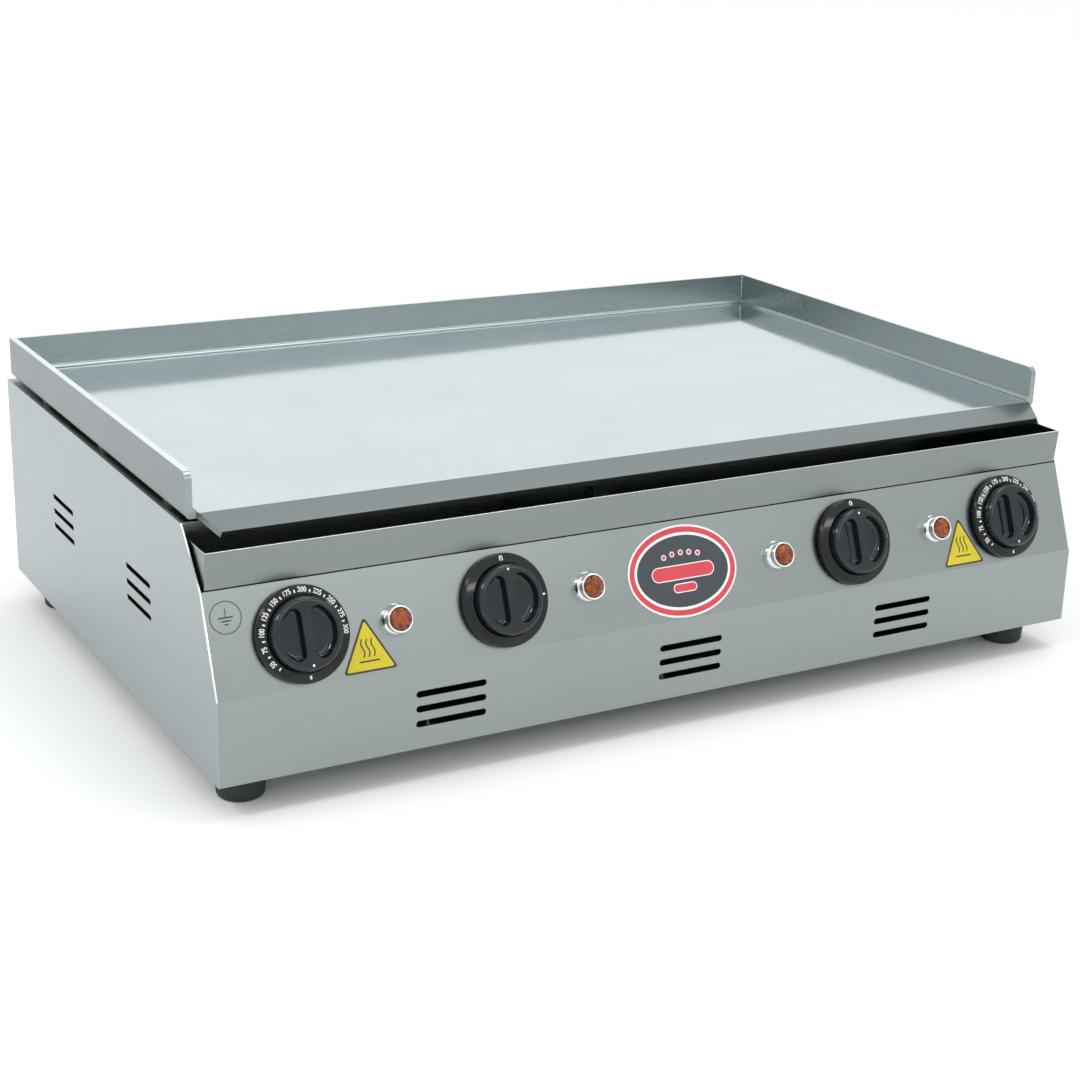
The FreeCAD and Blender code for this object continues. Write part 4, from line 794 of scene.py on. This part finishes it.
def bead_tree():
    """A weld bead: overlapping round drops of slightly different sizes along a straight line."""
    if "Weld bead" in bpy.data.node_groups:
        return bpy.data.node_groups["Weld bead"]
    tree = Tree("Weld bead", (
        ("Count", "Int"),
        ("Start", "Vector"),
        ("Step", "Vector"),
        ("Radius", "Float"),
        ("Material", "Material"),
    ))
    given = tree.given.outputs
    line = tree.node("GeometryNodeMeshLine", {
        "Count": given["Count"], "Start Location": given["Start"], "Offset": given["Step"],
    })
    drop = tree.node("GeometryNodeMeshUVSphere", {"Segments": 16, "Rings": 8, "Radius": given["Radius"]})
    size = tree.node("FunctionNodeRandomValue", {2: 0.85, 3: 1.1, "Seed": 7}, data_type="FLOAT")
    copies = tree.node("GeometryNodeInstanceOnPoints", {
        "Points": line.outputs[0],
        "Instance": drop.outputs[0],
        "Scale": size.outputs[1],
    })
    tree.finish(copies.outputs[0], given["Material"])
    return tree.group


# ---- plate and casing ----


class GRIDDLE_OT_plate(bpy.types.Operator):
    """Make the polished cooking plate with its cut edges painted bright as highlight, its outer walls painted
    darker as shade, and corner welds
    """

    bl_idname = "griddle.plate"
    bl_label = "Cooking plate"

    def execute(self, context):
        plate = refined("griddle_plate", polished_plate(), sizes().plate_edge, 3)
        plate.data.materials.append(plate_wall())
        plate.data.materials.append(cut_edge())
        plate.data.materials.append(plate_outside())
        low, high = (Vector(point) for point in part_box("griddle_plate"))
        rim = high.z - 0.3 * MM
        outside = high.x - 0.6 * MM
        lip = low.z + 10 * MM
        level = 0.98
        for face in plate.data.polygons:
            # Top faces of the rim: cut edge metal, painted bright as an edge highlight.
            if face.center.z > rim:
                face.material_index = 2
            # Outer walls and the lower band: wall steel painted darker as shade.
            elif abs(face.center.x) > outside or face.center.z < lip:
                face.material_index = 3
            elif face.normal.z < level:
                face.material_index = 1
        settle(plate, "griddle_plate")
        self.welds(low, high)
        return {"FINISHED"}

    def welds(self, low, high):
        """A bead up each of the two rear corners."""
        wall = 4.6 * MM
        count = 30
        floor = low.z + 16 * MM
        top = high.z - 1.6 * MM
        meshes = []
        for x in (low.x + wall, high.x - wall):
            meshes.append(from_tree("bead", bead_tree(), {
                "Count": count,
                "Start": (x, high.y - wall, floor),
                "Step": (0.0, 0.0, (top - floor) / (count - 1)),
                "Radius": sizes().weld,
                "Material": plate_wall(),
            }))
        settle(joined("corner_welds", meshes, plate_wall()), "griddle_plate", stands_in=False)


class GRIDDLE_OT_casing(bpy.types.Operator):
    """Give the casing's sheet parts rounded edges and a brushed finish"""

    bl_idname = "griddle.casing"
    bl_label = "Casing"

    def execute(self, context):
        edge = sizes().sheet_edge
        for node in ("control_panel", "rear_panel", "bottom_pan", "front_rail", "tray_shelf", "partition"):
            settle(refined(node, casing_front(), edge), node)
        for node in ("side_panel_left", "side_panel_right", "tray_guide", "tray_runners"):
            piece = refined(node, casing_side(), edge)
            if node.startswith("side_panel"):
                # Edge faces that face forward and up get the bright cut edge metal: painted edge highlight.
                brighten(piece, lambda face: face.normal.y < -0.3 and face.normal.z > 0.1)
            settle(piece, node)
        return {"FINISHED"}


def brighten(piece, wanted):
    """Give the piece's wanted faces the near white metal of a cut edge, painted bright as an edge highlight.
    """
    piece.data.materials.append(cut_edge())
    for face in piece.data.polygons:
        if wanted(face):
            face.material_index = 1


class GRIDDLE_OT_tray(bpy.types.Operator):
    """Make the drip tray"""

    bl_idname = "griddle.tray"
    bl_label = "Drip tray"

    def execute(self, context):
        tray = refined("drip_tray", tray_steel(), sizes().sheet_edge)
        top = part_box("drip_tray")[1][2]
        # Top edge faces of the tray get the bright cut edge metal: painted edge highlight.
        brighten(tray, lambda face: face.center.z > top - 0.3 * MM)
        settle(tray, "drip_tray")
        return {"FINISHED"}


# ---- controls ----


def scoop_cutter(side, low, high):
    """A D-shaped block with rounded ends, which hollows one side of the cap."""
    near = sizes().grip / 2
    reach = sizes().scoop_reach
    corner = sizes().scoop_corner
    half = math.sqrt((reach - corner) ** 2 - (near + corner) ** 2)
    bend = math.degrees(math.atan2(half, near + corner))
    outline = arc_points((near + corner, -half), corner, 180, 360 - bend, 12)
    outline += arc_points((0, 0), reach, -bend, bend, 40)[1:-1]
    outline += arc_points((near + corner, half), corner, bend, 180, 12)
    return slab([(side * x, y) for x, y in outline], low, high)


class GRIDDLE_OT_knobs(bpy.types.Operator):
    """Make the four turning caps with their grips and finger recesses"""

    bl_idname = "griddle.knobs"
    bl_label = "Knob caps"

    def execute(self, context):
        for name in KNOBS:
            node = f"knob_{name}"
            matrix = control_matrix(node)
            low, high = local_box(node, matrix)
            self.cap(node, matrix, (high.x - low.x) / 2, low.z, high.z)
            shaft = frame["nodes"][f"shaft_{name}"]
            shaft.data.materials.clear()
            shaft.data.materials.append(zinc())
        return {"FINISHED"}

    def cap(self, node, matrix, radius, low, high):
        rim = sizes().cap_rim
        taper = 2
        chamfer = 0.3 * MM
        top = radius - (high - low) * math.tan(math.radians(taper))
        profile = [(0, low), (radius - chamfer, low), (radius, low + chamfer)]
        profile += arc_points((top - rim, high - rim), rim, taper, 90, 12)
        profile += [(0, high)]
        body = mesh_object(f"{node}_cap", lathe(profile, 128), knob_black(), 50)
        valley, clear = 4.0 * MM, 5 * MM
        cutters = []
        for side in (-1, 1):
            shape = scoop_cutter(side, high - sizes().scoop_depth, high + clear)
            cutter = mesh_object("scoop", shape, knob_black())
            add_bevel(cutter, valley, 8, 60)
            cutters.append(cutter)
            hollow = body.modifiers.new("scoop", "BOOLEAN")
            hollow.operation = "DIFFERENCE"
            hollow.object = cutter
            hollow.solver = "EXACT"
        baked(body)
        shape = bmesh.new()
        shape.from_mesh(body.data)
        join_flats(shape)
        shape.to_mesh(body.data)
        shape.free()
        add_bevel(body, sizes().scoop_edge, 5, 40)
        baked(body)
        for cutter in cutters:
            bpy.data.objects.remove(cutter)
        finish_shading(body.data, 40)
        settle(body, node, matrix)
        dot = mesh_object(f"{node}_dot", self.pointer(node, radius, high), ink_white())
        settle(dot, node, matrix, stands_in=False)

    def pointer(self, node, radius, high):
        """The small mark on the cap that shows where it points."""
        way = -1 if "thermostat" in node else 1
        middle = way * (radius - 4.0 * MM)
        wide, tall, sunk = 0.75 * MM, 0.9 * MM, 0.5 * MM
        outline = [(x, y + middle) for x, y in oval(wide, tall, 24)]
        return slab(outline, high - sunk, high + sizes().print_lift)


class GRIDDLE_OT_dials(bpy.types.Operator):
    """Make the dial rings with their printed scales"""

    bl_idname = "griddle.dials"
    bl_label = "Dials"

    def execute(self, context):
        for name in KNOBS:
            node = f"dial_{name}"
            self.matrix = control_matrix(f"knob_{name}")
            low, high = local_box(node, self.matrix)
            self.radius = (high.x - low.x) / 2
            self.top = high.z
            self.well = local_box(f"knob_{name}", self.matrix)[1].x + sizes().cap_gap
            self.ring(node)
            meshes = self.scale() if name.startswith("thermostat") else self.switch_marks()
            self.lay(meshes)
            prints = joined(f"{node}_print", meshes, ink_white())
            settle(prints, node, self.matrix, stands_in=False)
        return {"FINISHED"}

    def ring(self, node):
        """The ring's section: a thin foot, a rounded rim, and a well for the cap."""
        well, top, floor = self.well, self.top, sizes().dial_floor
        base = top - 5.0 * MM
        foot = well + 2.8 * MM
        rim = top - sizes().dial_fall
        edge = RIM_ROUNDING
        small = 0.8 * MM
        chamfer = 0.4 * MM
        underside, bore = 0.1 * MM, 9.0 * MM
        profile = [(foot, underside), (foot, base), (self.radius - small, base)]
        profile += arc_points((self.radius - small, base + small), small, -80, 0, 6)
        profile += arc_points((self.radius - edge, rim - edge), edge, 0, 80, 12)
        profile += [(well + chamfer, top), (well, top - chamfer), (well, floor)]
        profile += [(bore, floor), (bore, underside), profile[0]]
        settle(mesh_object(f"{node}_ring", lathe(profile, 128), dial_black(), 40), node, self.matrix)

    def lay(self, meshes):
        """Lower flat prints onto the dial's falling face."""
        fall = sizes().dial_fall / (self.radius - RIM_ROUNDING - self.well)
        for mesh in meshes:
            for vertex in mesh.vertices:
                out = math.hypot(vertex.co.x, vertex.co.y) - self.well
                vertex.co.z -= fall * max(0.0, out)

    def ticks(self, name, count, radius, start, step, long, wide):
        lift = sizes().print_lift
        return from_tree(name, tick_ring_tree(), {
            "Count": count,
            "Radius": radius,
            "Start": start,
            "Step": step,
            "Length": sizes().tick_length * long,
            "Width": sizes().tick_width * wide,
            "Thickness": lift,
            "Height": self.top + lift / 2,
            "Material": ink_white(),
        })

    def scale(self):
        """Figures from 50 to 300 round the ring, ticks between them, and an off mark at the bottom."""
        lift = sizes().print_lift
        first = math.radians(236)
        step = math.radians(21.6)
        figures = range(50, 301, 25)
        narrow = Matrix.Diagonal((0.86, 1.0, 1.0, 1.0))
        place = Matrix.Translation((0, sizes().figure_radius, self.top + lift / 2))
        meshes = []
        for i, figure in enumerate(figures):
            mesh = ink_text("figure", str(figure), sizes().figure, ink_white(), lift)
            mesh.transform(Matrix.Rotation(-(first + step * i), 4, "Z") @ place @ narrow)
            meshes.append(mesh)
        circle = sizes().figure_radius - 0.6 * MM
        meshes.append(self.ticks("ticks", len(figures), circle, first - step / 2, step, 1.0, 1.0))
        meshes.append(self.ticks("off", 1, circle, math.pi, 0.0, 1.4, 1.4))
        return meshes

    def switch_marks(self):
        """A nought at the top and a bar at the right."""
        lift = sizes().print_lift
        nought = ink_text("nought", "0", sizes().figure * 1.2, ink_white(), lift)
        nought.transform(Matrix.Translation((0, self.radius - 4.0 * MM, self.top + lift / 2)))
        return [nought, self.ticks("bar", 1, self.radius - 4.2 * MM, math.pi / 2, 0.0, 1.5, 1.3)]


class GRIDDLE_OT_lamps(bpy.types.Operator):
    """Make the pilot lamps: chromed bezels and faceted amber lenses"""

    bl_idname = "griddle.lamps"
    bl_label = "Pilot lamps"

    def execute(self, context):
        for number in range(1, 5):
            matrix = panel_matrix(f"lamp_bezel_{number}")
            self.bezel(number, matrix)
            self.lens(number, matrix)
        return {"FINISHED"}

    def bezel(self, number, matrix):
        """A washer, a tube and a lip that rounds over onto the lens."""
        node = f"lamp_bezel_{number}"
        low, high = local_box(node, matrix)
        foot = (high.x - low.x) / 2
        top = high.z
        bore = 7.6 * MM
        tube = 9.25 * MM
        neck = tube - 0.5 * MM
        profile = [(bore, 0), (foot, 0), (foot, 0.5 * MM), (tube + 0.2 * MM, 2.4 * MM)]
        profile += [(neck, 3.2 * MM), (neck, top - 3.0 * MM)]
        profile += arc_points((tube - 0.8 * MM, top - 2.0 * MM), 0.8 * MM, -60, 30, 6)
        profile += arc_points((tube - 1.0 * MM, top - 0.9 * MM), 0.9 * MM, 30, 150, 8)
        profile += [(bore, top - 1.4 * MM), (bore, 0)]
        chrome = bright_metal("chrome", colours().chrome)
        settle(mesh_object(f"bezel_{number}", lathe(profile, 96), chrome, 40), node, matrix)

    def lens(self, number, matrix):
        """A low dome cut into two rows of facets."""
        node = f"lamp_lens_{number}"
        top = local_box(node, matrix)[1].z
        sides = 10
        levels = (
            (7.4 * MM, top - 12.0 * MM, 0.0),
            (7.4 * MM, top - 3.6 * MM, 0.0),
            (6.2 * MM, top - 1.6 * MM, 0.5),
            (3.4 * MM, top - 0.1 * MM, 0.0),
        )
        shape = bmesh.new()
        rows = []
        for radius, height, shift in levels:
            angles = [2 * math.pi * (i + shift) / sides for i in range(sides)]
            rows.append([
                shape.verts.new((radius * math.cos(angle), radius * math.sin(angle), height))
                for angle in angles
            ])
        for k, (first, second) in enumerate(zip(rows, rows[1:])):
            for i in range(sides):
                j = (i + 1) % sides
                if k == 0:
                    shape.faces.new((first[i], first[j], second[j], second[i]))
                elif k == 1:
                    shape.faces.new((first[i], first[j], second[i]))
                    shape.faces.new((first[j], second[j], second[i]))
                else:
                    shape.faces.new((first[i], first[j], second[j]))
                    shape.faces.new((first[i], second[j], second[i]))
        shape.faces.new(rows[-1])
        shape.faces.new(list(reversed(rows[0])))
        bmesh.ops.recalc_face_normals(shape, faces=shape.faces)
        lens = mesh_object(f"lens_{number}", shape, amber_glass(), 5)
        add_bevel(lens, 0.12 * MM, 2, 12)
        baked(lens)
        settle(lens, node, matrix)


# ---- badge and labels ----


class GRIDDLE_OT_badge(bpy.types.Operator):
    """Make the oval badge: plain bands of colour, two bars and five dots"""

    bl_idname = "griddle.badge"
    bl_label = "Oval badge"

    def execute(self, context):
        matrix = panel_matrix("badge")
        low, high = local_box("badge", matrix)
        wide, tall, top = (high.x - low.x) / 2, (high.y - low.y) / 2, high.z
        lift = sizes().print_lift
        white, red, field = (
            plastic(name, getattr(colours(), name), (0.22, 0.32), coat=0.5)
            for name in ("badge_white", "badge_red", "badge_field")
        )
        base = mesh_object("badge_base", slab(oval(wide, tall), SHEET_GAP, top), white)
        add_bevel(base, 0.3 * MM, 3)
        baked(base)
        settle(base, "badge", matrix)

        red_start, red_end, field_edge = 1.4 * MM, 5.3 * MM, 7.3 * MM
        outer = oval(wide - red_start, tall - red_start)
        inner = oval(wide - red_end, tall - red_end)
        band = frame_slab(outer, inner, top - PRINT_SINK, top + lift)
        settle(mesh_object("badge_red_band", band, red), "badge", matrix, stands_in=False)
        middle = slab(oval(wide - field_edge, tall - field_edge), top - PRINT_SINK, top + lift)
        settle(mesh_object("badge_inner", middle, field), "badge", matrix, stands_in=False)
        marks = (("outline", 0.7 * MM, 2, white), ("fill", 0.0, 3, red))
        for name, margin, layers, material in marks:
            outlines = []
            for half, radius, y in ((9.0, 2.6, -11.5), (25.0, 4.6, -0.5)):
                outlines.append(rounded_bar(half * MM + margin, radius * MM + margin, y * MM))
            dot = oval(1.3 * MM + margin, 1.3 * MM + margin, 32)
            for i in range(-2, 3):
                across, up = i * 7.0 * MM, (13.0 - 0.5 * i * i) * MM
                outlines.append([(x + across, y + up) for x, y in dot])
            shapes = [slab(outline, top, top + layers * lift) for outline in outlines]
            settle(merged(f"badge_{name}", shapes, material), "badge", matrix, stands_in=False)
        return {"FINISHED"}


def rounded_bar(half, radius, y):
    """Outline of a level bar with round ends."""
    points = arc_points((half - radius, y), radius, -90, 90, 10)
    points += arc_points((radius - half, y), radius, 90, 270, 10)
    return points


def rounded_triangle(base, rise, corner, inset):
    """Outline of an upright triangle with rounded corners, drawn in from its sides by inset."""
    corners = [Vector((-base / 2, 0)), Vector((base / 2, 0)), Vector((0, rise))]
    normals = []
    for first, second in zip(corners, corners[1:] + corners[:1]):
        along = (second - first).normalized()
        normals.append(Vector((along.y, -along.x)))
    reach = inset + corner
    points = []
    for i in range(3):
        before, after = normals[i - 1], normals[i]
        cosine = before.dot(after)
        shift = (before + after) * (-reach / (1 + cosine))
        centre = corners[i] + shift
        start = math.degrees(math.atan2(before.y, before.x))
        end = math.degrees(math.atan2(after.y, after.x))
        if end < start:
            end += 360
        points += arc_points(centre, corner, start, end, 8)
    return points


class GRIDDLE_OT_labels(bpy.types.Operator):
    """Make the two triangular labels and the ring around the earth mark"""

    bl_idname = "griddle.labels"
    bl_label = "Labels"

    def execute(self, context):
        matrix = control_matrix("knob_thermostat_left")
        for name, side in (("left", -1), ("right", 1)):
            low, high = local_box("warning_labels", matrix, side)
            place = matrix @ Matrix.Translation(((low.x + high.x) / 2, low.y, 0))
            self.triangle(name, place, high.x - low.x, high.y - low.y, high.z)
        self.earth_ring(matrix)
        return {"FINISHED"}

    def triangle(self, name, matrix, base, rise, top):
        """A yellow triangle with a dark border and three waves over a bar."""
        corner = 1.6 * MM
        yellow = plastic("yellow_print", colours().yellow, (0.25, 0.38))
        sheet = slab(rounded_triangle(base, rise, corner, 0), SHEET_GAP, top)
        sheet = mesh_object(f"label_{name}", sheet, yellow)
        settle(sheet, "warning_labels", matrix, stands_in=name == "left")
        low, high = top - 0.05 * MM, top + sizes().print_lift
        outer = rounded_triangle(base, rise, corner, 0.05 * MM)
        inner = rounded_triangle(base, rise, 1.0 * MM, 1.4 * MM)
        shapes = [frame_slab(outer, inner, low, high)]
        for i in (-1, 0, 1):
            shapes.append(slab(self.wave(i * 3.6 * MM, 9.6 * MM, 21.5 * MM), low, high))
        shapes.append(slab(rounded_bar(7.2 * MM, 0.5 * MM, 7.0 * MM), low, high))
        marks = merged(f"label_{name}_print", shapes, dark_ink())
        settle(marks, "warning_labels", matrix, stands_in=False)

    def wave(self, x, low, high):
        """A rising wavy line, as heat is drawn."""
        half = 0.48 * MM
        swing = 0.9 * MM
        count = 24
        spine = []
        for i in range(count + 1):
            share = i / count
            spine.append((x + swing * math.sin(2 * math.pi * share), low + (high - low) * share))
        right = [(px + half, py) for px, py in spine]
        left = [(px - half, py) for px, py in reversed(spine)]
        return right + left

    def earth_ring(self, matrix):
        """A thin printed ring near the panel's left end, holding a plain earth mark."""
        lift = sizes().print_lift
        radius = sizes().earth_mark
        thin, tall = 0.6 * MM, 6 * MM
        stem = [(-thin / 2, 0), (thin / 2, 0), (thin / 2, tall), (-thin / 2, tall)]
        shapes = [frame_slab(oval(radius, radius, 64), oval(radius - thin, radius - thin, 64), 0, lift)]
        shapes.append(slab(stem, 0, lift))
        for half, y in ((5.0, 0), (3.2, -2.2), (1.4, -4.4)):
            shapes.append(slab(rounded_bar(half * MM, 0.45 * MM, y * MM), 0, lift))
        place = matrix @ Matrix.Translation((-47.2 * MM, 17.8 * MM, 0.01 * MM))
        settle(merged("earth_ring_print", shapes, dark_ink()), "control_panel", place, stands_in=False)


# ---- feet, rear fittings and inner pieces ----


class GRIDDLE_OT_feet(bpy.types.Operator):
    """Make the moulded rubber feet with their hollows"""

    bl_idname = "griddle.feet"
    bl_label = "Feet"

    def execute(self, context):
        rubber = plastic("foot_moulded", colours().rubber, (0.55, 0.75), 500.0, 0.25)
        for corner in ("front_left", "front_right", "rear_left", "rear_right"):
            node = f"foot_{corner}"
            low, high = (Vector(point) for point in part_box(node))
            middle = (low + high) / 2
            radius = (high.x - low.x) / 2
            tall = high.z - low.z
            rounding = 3.0 * MM
            toe = radius - 1.5 * MM - rounding
            hollow, ceiling, hole = 7.0 * MM, 11 * MM, 3.1 * MM
            profile = [(hollow, 0), (toe, 0)]
            profile += arc_points((toe, rounding), rounding, -80, 0, 8)
            profile += [(radius - 0.5 * MM, tall - 3.2 * MM), (radius - 0.1 * MM, tall - 2.6 * MM)]
            profile += [(radius, tall - 2.0 * MM), (radius, tall - 0.3 * MM), (radius - 0.3 * MM, tall)]
            profile += [(hole, tall), (hole, ceiling), (hollow, ceiling), (hollow, 0)]
            place = Matrix.Translation((middle.x, middle.y, low.z))
            settle(mesh_object(f"{node}_rubber", lathe(profile, 72), rubber, 40), node, place)
        return {"FINISHED"}


class GRIDDLE_OT_fittings(bpy.types.Operator):
    """Finish the fasteners, rear fittings and the pieces inside the casing"""

    bl_idname = "griddle.fittings"
    bl_label = "Fittings and inner pieces"

    def execute(self, context):
        nylon = plastic("black_nylon", (0.03, 0.03, 0.032), (0.4, 0.55), 500.0, 0.15)
        housing = plastic("housing_white", (0.72, 0.70, 0.62), (0.4, 0.6), 500.0, 0.12)
        sheath = bright_metal("scaled_sheath", (0.26, 0.24, 0.22), (0.35, 0.55), 200.0, 0.2)
        copper = bright_metal("copper", (0.72, 0.38, 0.24), (0.22, 0.4))
        finishes = {
            "cable_gland": nylon,
            "gland_nut": nylon,
            "terminal_block": housing,
            "lamp_bodies": nylon,
            "insulation": fibre("blanket_fibre", (0.86, 0.85, 0.81), 300.0),
            "insulation_pan": casing_front(),
            "clamp_bars": casing_front(),
            "wiring_loom": fibre("woven_sleeve", (0.66, 0.62, 0.50)),
        }
        for side in ("left", "right"):
            finishes[f"thermostat_{side}"] = housing
            finishes[f"selector_{side}"] = housing
            finishes[f"heating_element_{side}"] = sheath
            finishes[f"sensor_{side}"] = copper
        fasteners = ("plate_studs", "plate_nuts", "plate_spacers", "base_screws", "foot_screws", "earth_stud")
        for node in fasteners:
            finishes[node] = zinc()
        for node, material in finishes.items():
            settle(refined(node, material, 0.3 * MM), node)
        return {"FINISHED"}


# ---- stage ----


class GRIDDLE_OT_stage(bpy.types.Operator):
    """Set the floor, the studio lights and the camera"""

    bl_idname = "griddle.stage"
    bl_label = "Stage"

    def execute(self, context):
        self.floor()
        self.world()
        self.lights()
        self.camera()
        bpy.context.scene.view_settings.view_transform = "Standard"
        return {"FINISHED"}

    def floor(self):
        shape = bmesh.new()
        reach = 30.0
        bmesh.ops.create_grid(shape, x_segments=1, y_segments=1, size=reach)
        pale, _, shader, _ = start_material("floor_pale")
        shader.inputs["Base Color"].default_value = (0.86, 0.86, 0.86, 1.0)
        shader.inputs["Roughness"].default_value = 0.9
        shader.inputs["Specular IOR Level"].default_value = 0.0
        mesh_object("floor", shape, pale)

    def world(self):
        """A pale room, brighter overhead than at eye level."""
        world = bpy.data.worlds.new("studio")
        world.use_nodes = True
        bpy.context.scene.world = world
        tree = world.node_tree
        back = tree.nodes["Background"]
        place = tree.nodes.new("ShaderNodeTexCoord")
        split = tree.nodes.new("ShaderNodeSeparateXYZ")
        tree.links.new(place.outputs["Generated"], split.inputs[0])
        ramp = tree.nodes.new("ShaderNodeValToRGB")
        tree.links.new(split.outputs["Z"], ramp.inputs[0])
        elements = ramp.color_ramp.elements
        cool = (0.985, 1.0, 1.01)
        for i, (position, level) in enumerate(((0.0, 0.72), (0.25, 0.74), (0.55, 0.86), (1.0, 1.0))):
            stop = elements[i] if i < 2 else elements.new(position)
            stop.position = position
            stop.color = (*(level * channel for channel in cool), 1.0)
        tree.links.new(ramp.outputs[0], back.inputs["Color"])
        back.inputs["Strength"].default_value = 1.3

    def lights(self):
        spots = (
            ("key", (-2.0, -0.6, 2.2), 0.5, 0.5, 16.0),
            ("top", (0.9, -0.3, 3.0), 1.2, 1.2, 14.0),
            ("front", (0.6, -2.0, 1.25), 1.5, 0.12, 3.5),
        )
        for name, place, wide, tall, power in spots:
            lamp = bpy.data.lights.new(name, "AREA")
            lamp.shape = "RECTANGLE"
            lamp.size = wide
            lamp.size_y = tall
            lamp.energy = power
            light = bpy.data.objects.new(name, lamp)
            light.location = place
            aim = Vector((0, 0, 0.1)) - Vector(place)
            light.rotation_euler = aim.to_track_quat("-Z", "Y").to_euler()
            bpy.context.scene.collection.objects.link(light)

    def camera(self):
        azimuth = math.radians(-29.687)
        height = math.radians(18.642)
        roll = math.radians(1.603)
        back = Vector((
            math.sin(azimuth) * math.cos(height),
            -math.cos(azimuth) * math.cos(height),
            math.sin(height),
        ))
        right = Vector((0, 0, 1)).cross(back).normalized()
        up = back.cross(right)
        turned = (
            right * math.cos(roll) + up * math.sin(roll),
            up * math.cos(roll) - right * math.sin(roll),
            back,
        )
        data = bpy.data.cameras.new("camera")
        data.sensor_width = 36.0
        data.lens = 67.13
        camera = bpy.data.objects.new("camera", data)
        _, front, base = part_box("control_panel")[0]
        place = Matrix.Translation((-0.7439, front - 1.0871, base + 0.5545))
        camera.matrix_world = place @ Matrix(turned).transposed().to_4x4()
        bpy.context.scene.collection.objects.link(camera)
        bpy.context.scene.camera = camera


# ---- add-on ----


class GRIDDLE_PT_panel(bpy.types.Panel):
    """Lists the griddle's settings and the steps that build it"""

    bl_idname = "GRIDDLE_PT_panel"
    bl_label = "Griddle"
    bl_space_type = "VIEW_3D"
    bl_region_type = "UI"
    bl_category = "Griddle"

    def draw(self, context):
        for settings in (sizes(), colours()):
            for name in settings.__annotations__:
                self.layout.prop(settings, name)
        for step in STEPS:
            self.layout.operator(step.bl_idname)


STEPS = (
    GRIDDLE_OT_stage,
    GRIDDLE_OT_plate,
    GRIDDLE_OT_casing,
    GRIDDLE_OT_tray,
    GRIDDLE_OT_knobs,
    GRIDDLE_OT_dials,
    GRIDDLE_OT_lamps,
    GRIDDLE_OT_badge,
    GRIDDLE_OT_labels,
    GRIDDLE_OT_feet,
    GRIDDLE_OT_fittings,
)
CLASSES = (GriddleSizes, GriddleColours, *STEPS, GRIDDLE_PT_panel)


def register():
    for item in CLASSES:
        bpy.utils.register_class(item)
    bpy.types.Scene.griddle_sizes = bpy.props.PointerProperty(type=GriddleSizes)
    bpy.types.Scene.griddle_colours = bpy.props.PointerProperty(type=GriddleColours)


def unregister():
    del bpy.types.Scene.griddle_sizes
    del bpy.types.Scene.griddle_colours
    for item in reversed(CLASSES):
        bpy.utils.unregister_class(item)


def main():
    register()
    for step in STEPS:
        family, name = step.bl_idname.split(".")
        getattr(getattr(bpy.ops, family), name)()


if __name__ == "__main__":
    main()
